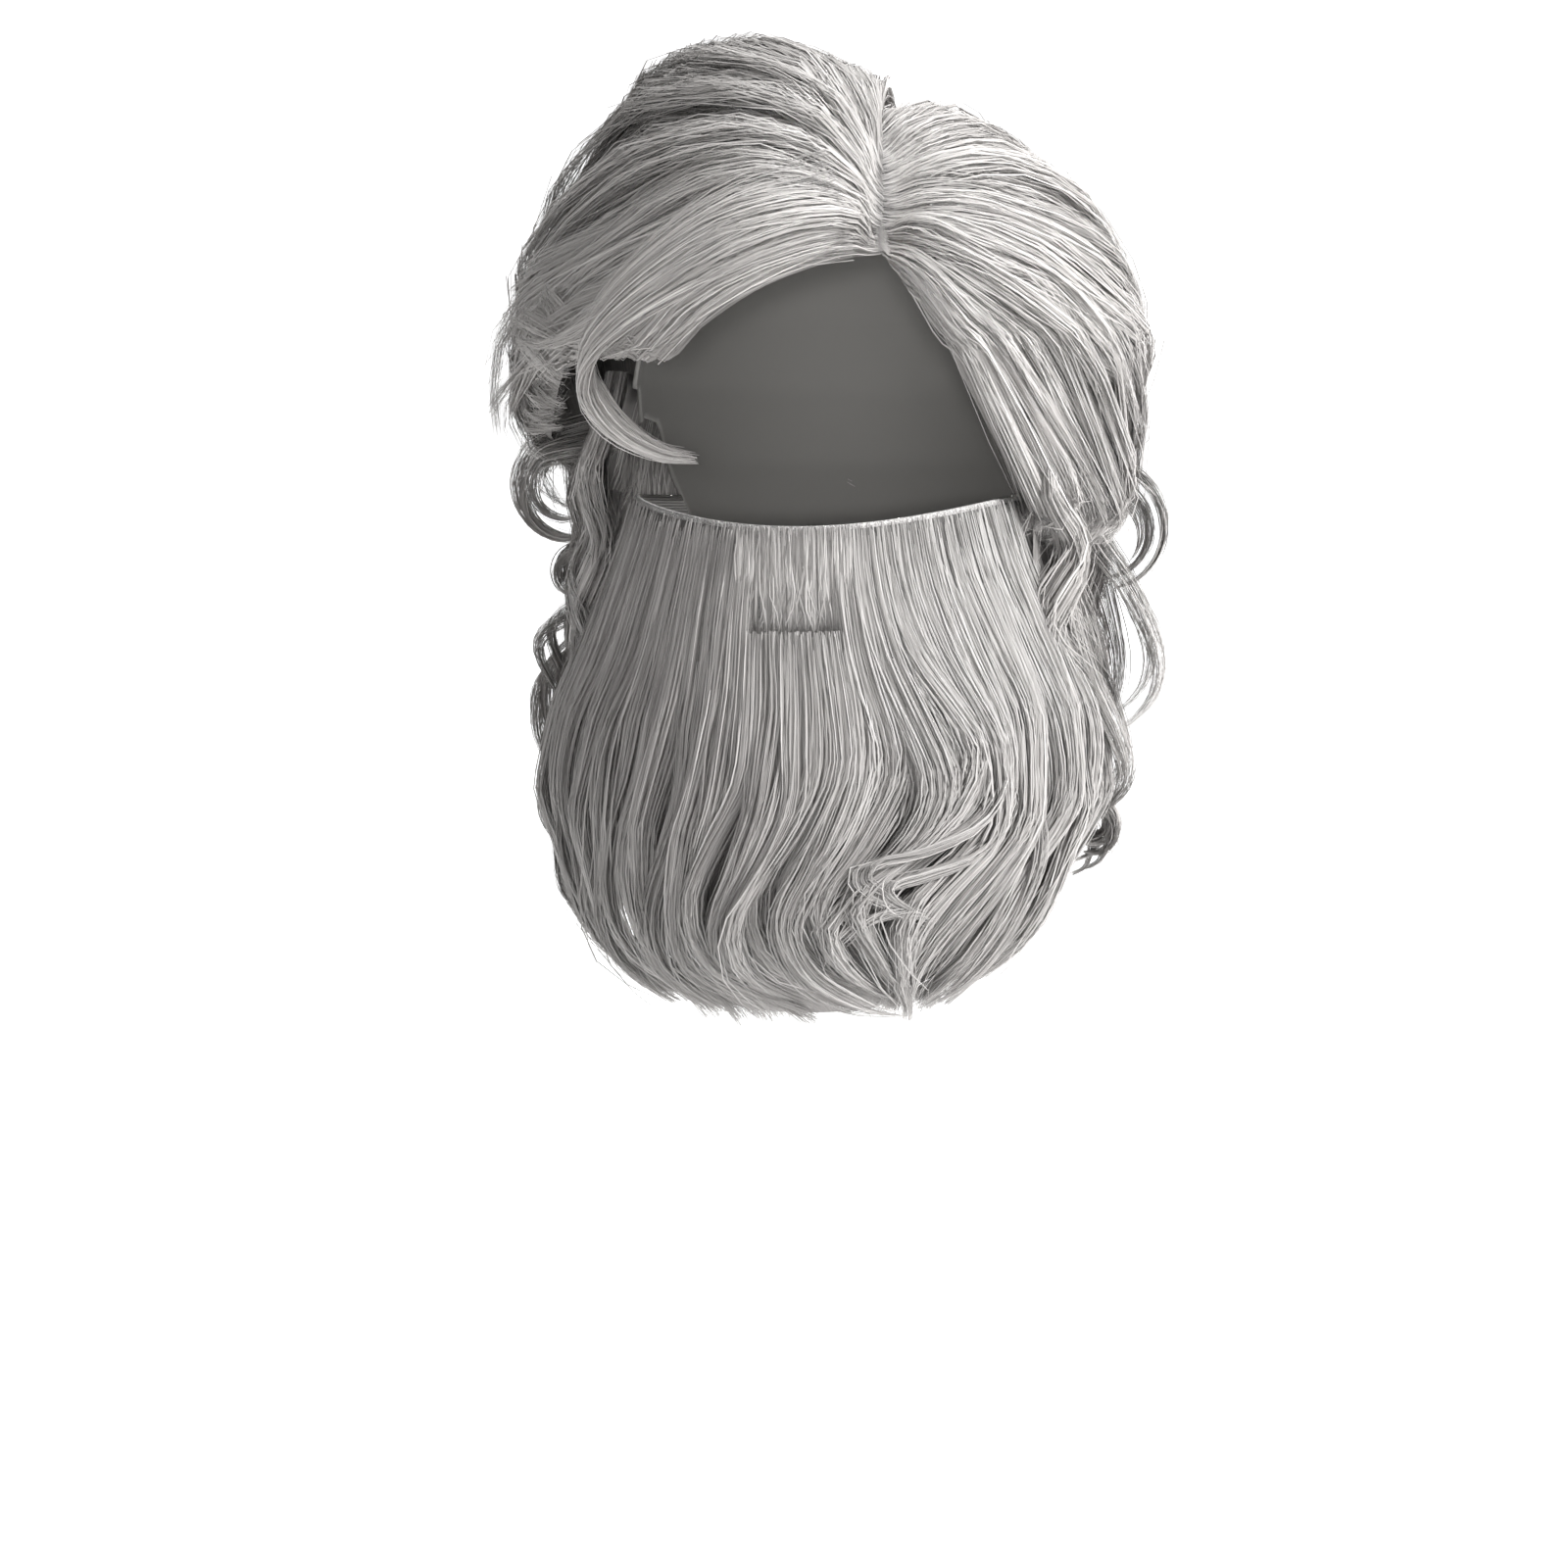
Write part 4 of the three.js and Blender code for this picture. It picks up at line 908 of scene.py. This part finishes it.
def elastic_material(color):
    """A ribbed band, with its ribs running round the head and painted shade in the grooves between them."""
    tree, shader = new_material("elastic_weave", 0.75)
    place = tree.nodes.new("ShaderNodeTexCoord")
    scale = tree.nodes.new("ShaderNodeMath")
    scale.operation = "MULTIPLY"
    scale.inputs[1].default_value = 2 * math.pi / STRAP_RIB
    tree.links.new(parts_of(tree, place.outputs["Object"])["Z"], scale.inputs[0])
    ribs = tree.nodes.new("ShaderNodeMath")
    ribs.operation = "SINE"
    tree.links.new(scale.outputs[0], ribs.inputs[0])
    height = remapped(tree, ribs.outputs[0], from_min=-1.0)
    # Painted shade: the grooves between the ribs are darker.
    tone = mixed(tree, height, (*[c * 0.6 for c in color], 1), (*color, 1))
    tree.links.new(tone, shader.inputs["Base Color"])
    bumped(tree, shader, height, 0.6, 0.3 * MM)


# Pieces


def sheet_mesh(name, rows, closed=False, slit=None):
    """A grid of points as one sheet with its maps. A slit leaves out the mouth's width from low to high."""
    rows = np.asarray(rows)
    levels, columns, _ = rows.shape
    index = np.arange(levels * columns).reshape(levels, columns)
    following = np.roll(index, -1, axis=1) if closed else index[:, 1:]
    here = index if closed else index[:, :-1]
    quads = np.stack([here[:-1], following[:-1], following[1:], here[1:]], axis=-1).reshape(-1, 4)
    level, place = np.meshgrid(np.arange(levels - 1), np.arange(here.shape[1]), indexing="ij")
    u = np.stack([place, place + 1, place + 1, place], axis=-1) / here.shape[1]
    v = np.stack([level, level, level + 1, level + 1], axis=-1) / (levels - 1)
    uv = np.stack([u, v], axis=-1).reshape(-1, 4, 2)
    points = rows.reshape(-1, 3)
    if slit is not None:
        low, high = slit
        middle = points[quads].mean(axis=1)
        kept = (np.abs(middle[:, 0]) > MOUTH_WIDTH / 2) | (middle[:, 2] < low) | (middle[:, 2] > high)
        quads, uv = quads[kept], uv[kept]
    mesh = bpy.data.meshes.new(name)
    mesh.from_pydata(points.tolist(), [], quads.tolist())
    for layer in (STRAND_MAP, BAKE_MAP):
        mesh.uv_layers.new(name=layer).data.foreach_set("uv", uv.astype(np.float32).ravel())
    mesh.polygons.foreach_set("use_smooth", np.ones(len(mesh.polygons), dtype=bool))
    return mesh


def show(name, mesh, material, node):
    piece = bpy.data.objects.new(name, mesh)
    bpy.context.scene.collection.objects.link(piece)
    mesh.materials.append(bpy.data.materials[material])
    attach(piece, "root")
    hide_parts(node)
    return piece


def show_hair(name, strands, node, material="hair_grey", sheet=None, slit=None):
    """The strands of a node, and the sheet of dense hair under them where it has one."""
    show(name, strands.mesh(name), material, node)
    if sheet is not None:
        under = name + "_underlayer"
        show(under, sheet_mesh(under, sheet, slit=slit), "hair_underlayer", node)


def show_wall(name, mesh, wall, material, node):
    """A sheet that is the inner face of a wall."""
    piece = show(name, mesh, material, node)
    solid = piece.modifiers.new("wall", "SOLIDIFY")
    solid.thickness = wall
    solid.offset = 1


def on_head(turn, drop, stand_off):
    """Surface of the head space at a turn about its axis (0 is +X) and a drop in shares of its height."""
    half = column(HEAD_SECTIONS, 1, drop) * HALF_WIDTH + stand_off
    ahead = column(HEAD_SECTIONS, 2, drop) * HALF_LENGTH + stand_off
    behind = column(HEAD_SECTIONS, 3, drop) * HALF_LENGTH + stand_off
    deep = np.where(np.sin(turn) < 0, ahead, behind)
    slope = np.maximum(0, 1 - drop / HEAD_SECTIONS[6, 0])
    level = -drop * HEAD_HEIGHT + stand_off * slope
    return np.stack([np.cos(turn) * half, np.sin(turn) * deep, level], axis=-1)


def cap_edge(turn):
    """How far down the cap reaches at a turn about the axis: to the face's opening or to its lower edge."""
    drops = np.linspace(0.02, 0.75, 220)
    for drop in drops:
        point = on_head(np.array(turn), np.array(drop), 0.0)
        if drop > np.interp(point[1] / HALF_LENGTH, CAP_RIM[:, 0], CAP_RIM[:, 1]):
            return drop
        outline = np.interp(point[0] / HALF_WIDTH, FACE_OUTLINE[:, 0], FACE_OUTLINE[:, 1])
        if point[1] < 0 and drop > outline - CAP_SET_BACK / HEAD_HEIGHT:
            return drop
    return drops[-1]


def cap_rows():
    turns = np.linspace(0, 2 * np.pi, 160, endpoint=False)
    edges = np.array([cap_edge(turn) for turn in turns])
    return [on_head(turns, edges * share, 0.0) for share in np.linspace(0, 1, 44) ** 0.8]


def backing_rows():
    turns = np.radians(np.linspace(-172, -8, 120))
    top = BEARD_TOP + BEARD_TOP_RISE * np.minimum(1, np.cos(turns) ** 2)
    chin = -HEAD_HEIGHT * 0.97
    corner = BEARD_TOP + BEARD_TOP_RISE - BACKING_CORNER_DROP
    low = np.interp(np.sin(turns) * HALF_LENGTH, (-0.9 * HALF_LENGTH, BACKING_BACK), (chin, corner))
    levels = [top + (low - top) * share for share in np.linspace(0, 1, 60)]
    return [on_head(turns, -level / HEAD_HEIGHT, 0.0) for level in levels]


def strap_rows():
    turns = np.radians(np.linspace(-15, 195, 106))
    levels = BEARD_TOP + STRAP_RISE + np.linspace(-0.5, 0.5, 5) * STRAP_WIDTH
    inner = -GAP - STRAP_WALL
    return [on_head(turns, np.full_like(turns, -level / HEAD_HEIGHT), inner) for level in levels]


# Stage


def add_backdrop():
    """A floor that bends up into a backdrop and glows enough to stay plain white."""
    rows = []
    for share in np.linspace(0, 1, 25):
        y = FLOOR_FRONT + FLOOR_LENGTH * min(share / 0.6, 1)
        z = FLOOR_LEVEL + BACKDROP_HEIGHT * smoothstep(share, 0.35, 0.75) ** 2
        rows.append([(-STAGE_HALF_WIDTH, y, z), (STAGE_HALF_WIDTH, y, z)])
    mesh = sheet_mesh("backdrop", rows)
    floor = bpy.data.objects.new("backdrop", mesh)
    bpy.context.scene.collection.objects.link(floor)
    _, shader = new_material("backdrop_white", 0.9)
    shader.inputs["Base Color"].default_value = (0.9, 0.9, 0.9, 1)
    shader.inputs["Emission Color"].default_value = (1, 1, 1, 1)
    shader.inputs["Emission Strength"].default_value = 0.62
    mesh.materials.append(bpy.data.materials["backdrop_white"])


def add_world(strength):
    world = bpy.data.worlds.new("studio")
    bpy.context.scene.world = world
    world.use_nodes = True
    background = world.node_tree.nodes["Background"]
    background.inputs["Color"].default_value = (1, 1, 1, 1)
    background.inputs["Strength"].default_value = strength


def add_light(name, place, aim, size, power, spread=math.pi):
    light = bpy.data.lights.new(name, "AREA")
    light.size = size
    light.energy = power
    light.spread = spread
    lamp = bpy.data.objects.new(name, light)
    bpy.context.scene.collection.objects.link(lamp)
    lamp.location = place
    lamp.rotation_euler = (Vector(aim) - lamp.location).to_track_quat("-Z", "Y").to_euler()


def add_camera(stage):
    camera = bpy.data.objects.new("camera", bpy.data.cameras.new("camera"))
    bpy.context.scene.collection.objects.link(camera)
    away = Vector((
        math.sin(stage.azimuth) * math.cos(stage.elevation),
        -math.cos(stage.azimuth) * math.cos(stage.elevation),
        math.sin(stage.elevation),
    ))
    camera.location = Vector(VIEW_CENTRE) + away * stage.distance
    camera.rotation_euler = (-away).to_track_quat("-Z", "Y").to_euler()
    camera.data.sensor_width = SENSOR_WIDTH
    camera.data.lens = SENSOR_WIDTH * stage.distance / stage.view_width
    camera.data.clip_start = 0.01
    bpy.context.scene.camera = camera


# The add-on


class WIG_PG_hair(bpy.types.PropertyGroup):
    density: bpy.props.FloatProperty(
        name="Density", description="Share of the full number of strands", default=1.0, min=0.05, max=1.0,
        subtype="FACTOR")
    strand: bpy.props.FloatProperty(
        name="Strand Radius", description="Mean radius of a strand", default=0.21 * MM, unit="LENGTH")
    clumping: bpy.props.FloatProperty(
        name="Clumping", description="How far strands gather towards the middle of their lock at its tip",
        default=0.62, min=0, max=1, subtype="FACTOR")
    flyaway: bpy.props.FloatProperty(
        name="Flyaways", description="Share of strands that stand away from the rest", default=0.035, min=0,
        max=1, subtype="FACTOR")
    dark: bpy.props.FloatVectorProperty(
        name="Dark Strands", description="Colour of the darkest strands", size=3, subtype="COLOR",
        default=(0.25, 0.239, 0.231))
    light: bpy.props.FloatVectorProperty(
        name="Light Strands", description="Colour of the lightest strands", size=3, subtype="COLOR",
        default=(0.46, 0.443, 0.431))


class WIG_PG_stage(bpy.types.PropertyGroup):
    azimuth: bpy.props.FloatProperty(
        name="Camera Azimuth", description="Turn of the camera about the object, from its front",
        default=math.radians(9), subtype="ANGLE")
    elevation: bpy.props.FloatProperty(
        name="Camera Elevation", description="Angle of the camera over the level", default=math.radians(4),
        subtype="ANGLE")
    distance: bpy.props.FloatProperty(
        name="Camera Distance", description="From the camera to what it looks at", default=1.5,
        unit="LENGTH")
    view_width: bpy.props.FloatProperty(
        name="View Width", description="Width that the picture takes in at the object", default=0.608,
        unit="LENGTH")
    key_power: bpy.props.FloatProperty(
        name="Key Light", description="Power of the main light in watts", default=85)
    fill_power: bpy.props.FloatProperty(
        name="Top Light", description="Power of the light overhead in watts", default=30)
    opening_power: bpy.props.FloatProperty(
        name="Opening Light", description="Power of the narrow light into the face's opening in watts",
        default=0.055)


class WIG_OT_materials(bpy.types.Operator):
    """Makes the shared effects and the materials"""

    bl_idname = "wig.materials"
    bl_label = "Materials"

    def execute(self, context):
        hair = context.scene.wig_hair
        strand_tone_group()
        net_group()
        dark, light = tuple(hair.dark), tuple(hair.light)
        # The last number is how dark the painted shade at the strands' roots gets.
        hair_material("hair_grey", dark, light, 0.5)
        # The beard's hair is a darker copy of the wig's hair: painted shade against the front light on the
        # beard.
        hair_material("hair_grey_beard_painted_shade", [c * 0.79 for c in dark], [c * 0.83 for c in light], 0.8)
        # The underlayer is darker than the darkest strands: painted shade under the strands.
        underlayer_material([c * 0.95 for c in dark])
        net_material("cap_net", (0.93, 0.925, 0.915), (0.8, 0.795, 0.785), 620)
        net_material("lace_net", (0.5, 0.49, 0.48), (0.26, 0.255, 0.25), 900)
        elastic_material((0.34, 0.33, 0.32))
        return {"FINISHED"}


class WIG_OT_crown(bpy.types.Operator):
    """Builds the swept hair on both sides of the part"""

    bl_idname = "wig.crown"
    bl_label = "Crown Hair"

    def execute(self, context):
        for side, node in ((LEFT, "crown_hair_left"), (RIGHT, "crown_hair_right")):
            rng = np.random.default_rng(SEED + side)
            strands = crown_strands(rng, side, context.scene.wig_hair)
            show_hair(node + "_strands", strands, node, sheet=crown_sheet(side))
        return {"FINISHED"}


class WIG_OT_forelock(bpy.types.Operator):
    """Builds the stray lock over the temple"""

    bl_idname = "wig.forelock"
    bl_label = "Forelock"

    def execute(self, context):
        strands = Strands(np.random.default_rng(SEED + 5))
        path = FORELOCK * np.array([HALF_WIDTH, -HALF_LENGTH, -HEAD_HEIGHT])
        across = np.array([0.0, 0.35, 1.0])
        lock_strands(strands, path, FORELOCK_WIDTH, FORELOCK_THICKNESS, FORELOCK_STRANDS, 24, across,
                     context.scene.wig_hair, FORELOCK_PROFILE, 0.5)
        show_hair("forelock_strands", strands, "forelock")
        return {"FINISHED"}


class WIG_OT_lower_hair(bpy.types.Operator):
    """Builds the lower layer at the sides and the back, with the open curls"""

    bl_idname = "wig.lower_hair"
    bl_label = "Side and Back Hair"

    def execute(self, context):
        hair = context.scene.wig_hair
        for node, first, last, count, locks, side in LOWER_HAIR:
            rng = np.random.default_rng(SEED + 10 + side)
            strands = hanging_strands(rng, first, last, int(count * hair.density), locks, hair)
            side_curls(strands, side, hair)
            side_waves(strands, side, hair)
            show_hair(node + "_strands", strands, node, sheet=hanging_sheet(first, last))
        return {"FINISHED"}


class WIG_OT_beard(bpy.types.Operator):
    """Builds the beard's locks and the moustache"""

    bl_idname = "wig.beard"
    bl_label = "Beard and Moustache"

    def execute(self, context):
        hair = context.scene.wig_hair
        beard = beard_strands(np.random.default_rng(SEED + 20), hair)
        lip = (MOUTH_LOW, BEARD_TOP + BEARD_TOP_RISE)
        show_hair("beard_strands", beard, "beard_hair", "hair_grey_beard_painted_shade", beard_sheet(), lip)
        moustache = moustache_strands(np.random.default_rng(SEED + 21), hair)
        show_hair("moustache_strands", moustache, "moustache", "hair_grey_beard_painted_shade")
        return {"FINISHED"}


class WIG_OT_nets(bpy.types.Operator):
    """Builds the cap, the beard's backing and the strap"""

    bl_idname = "wig.nets"
    bl_label = "Cap, Backing and Strap"

    def execute(self, context):
        cap = sheet_mesh("cap_net", cap_rows(), closed=True)
        show_wall("cap_net", cap, CAP_WALL, "cap_net", "wig_cap")
        backing = sheet_mesh("backing_net", backing_rows(), slit=(MOUTH_LOW, MOUTH_HIGH))
        show_wall("backing_net", backing, BACKING_WALL, "lace_net", "beard_backing")
        strap = sheet_mesh("elastic_strap", strap_rows())
        show_wall("elastic_strap", strap, STRAP_WALL, "elastic_weave", "beard_strap")
        return {"FINISHED"}


class WIG_OT_stage(bpy.types.Operator):
    """Sets out the floor, the backdrop, the light and the camera"""

    bl_idname = "wig.stage"
    bl_label = "Stage"

    def execute(self, context):
        stage = context.scene.wig_stage
        add_backdrop()
        add_world(0.2)
        add_light("key", (1.7, -0.7, 0.8), LIGHT_CENTRE, 0.6, stage.key_power)
        add_light("top", (0.1, 0.1, 1.5), LIGHT_CENTRE, 0.9, stage.fill_power)
        narrow = math.radians(9)
        add_light("opening", (0.2, -1.5, -0.13), OPENING_CENTRE, 0.16, stage.opening_power, narrow)
        add_camera(stage)
        context.scene.view_settings.view_transform = "Standard"
        return {"FINISHED"}


class WIG_PT_panel(bpy.types.Panel):
    """Lists what builds the wig and the beard"""

    bl_idname = "WIG_PT_panel"
    bl_label = "Grey Wig with Beard"
    bl_space_type = "VIEW_3D"
    bl_region_type = "UI"
    bl_category = "Wig"

    def draw(self, context):
        for group in (context.scene.wig_hair, context.scene.wig_stage):
            for name in group.__annotations__:
                self.layout.prop(group, name)
        for operator in OPERATORS:
            self.layout.operator(operator.bl_idname)


OPERATORS = (
    WIG_OT_materials,
    WIG_OT_crown,
    WIG_OT_forelock,
    WIG_OT_lower_hair,
    WIG_OT_beard,
    WIG_OT_nets,
    WIG_OT_stage,
)
CLASSES = (WIG_PG_hair, WIG_PG_stage, *OPERATORS, WIG_PT_panel)


def register():
    for cls in CLASSES:
        bpy.utils.register_class(cls)
    bpy.types.Scene.wig_hair = bpy.props.PointerProperty(type=WIG_PG_hair)
    bpy.types.Scene.wig_stage = bpy.props.PointerProperty(type=WIG_PG_stage)


def unregister():
    del bpy.types.Scene.wig_stage
    del bpy.types.Scene.wig_hair
    for cls in reversed(CLASSES):
        bpy.utils.unregister_class(cls)


def main():
    register()
    bpy.ops.wig.materials()
    bpy.ops.wig.crown()
    bpy.ops.wig.forelock()
    bpy.ops.wig.lower_hair()
    bpy.ops.wig.beard()
    bpy.ops.wig.nets()
    bpy.ops.wig.stage()


if __name__ == "__main__":
    main()
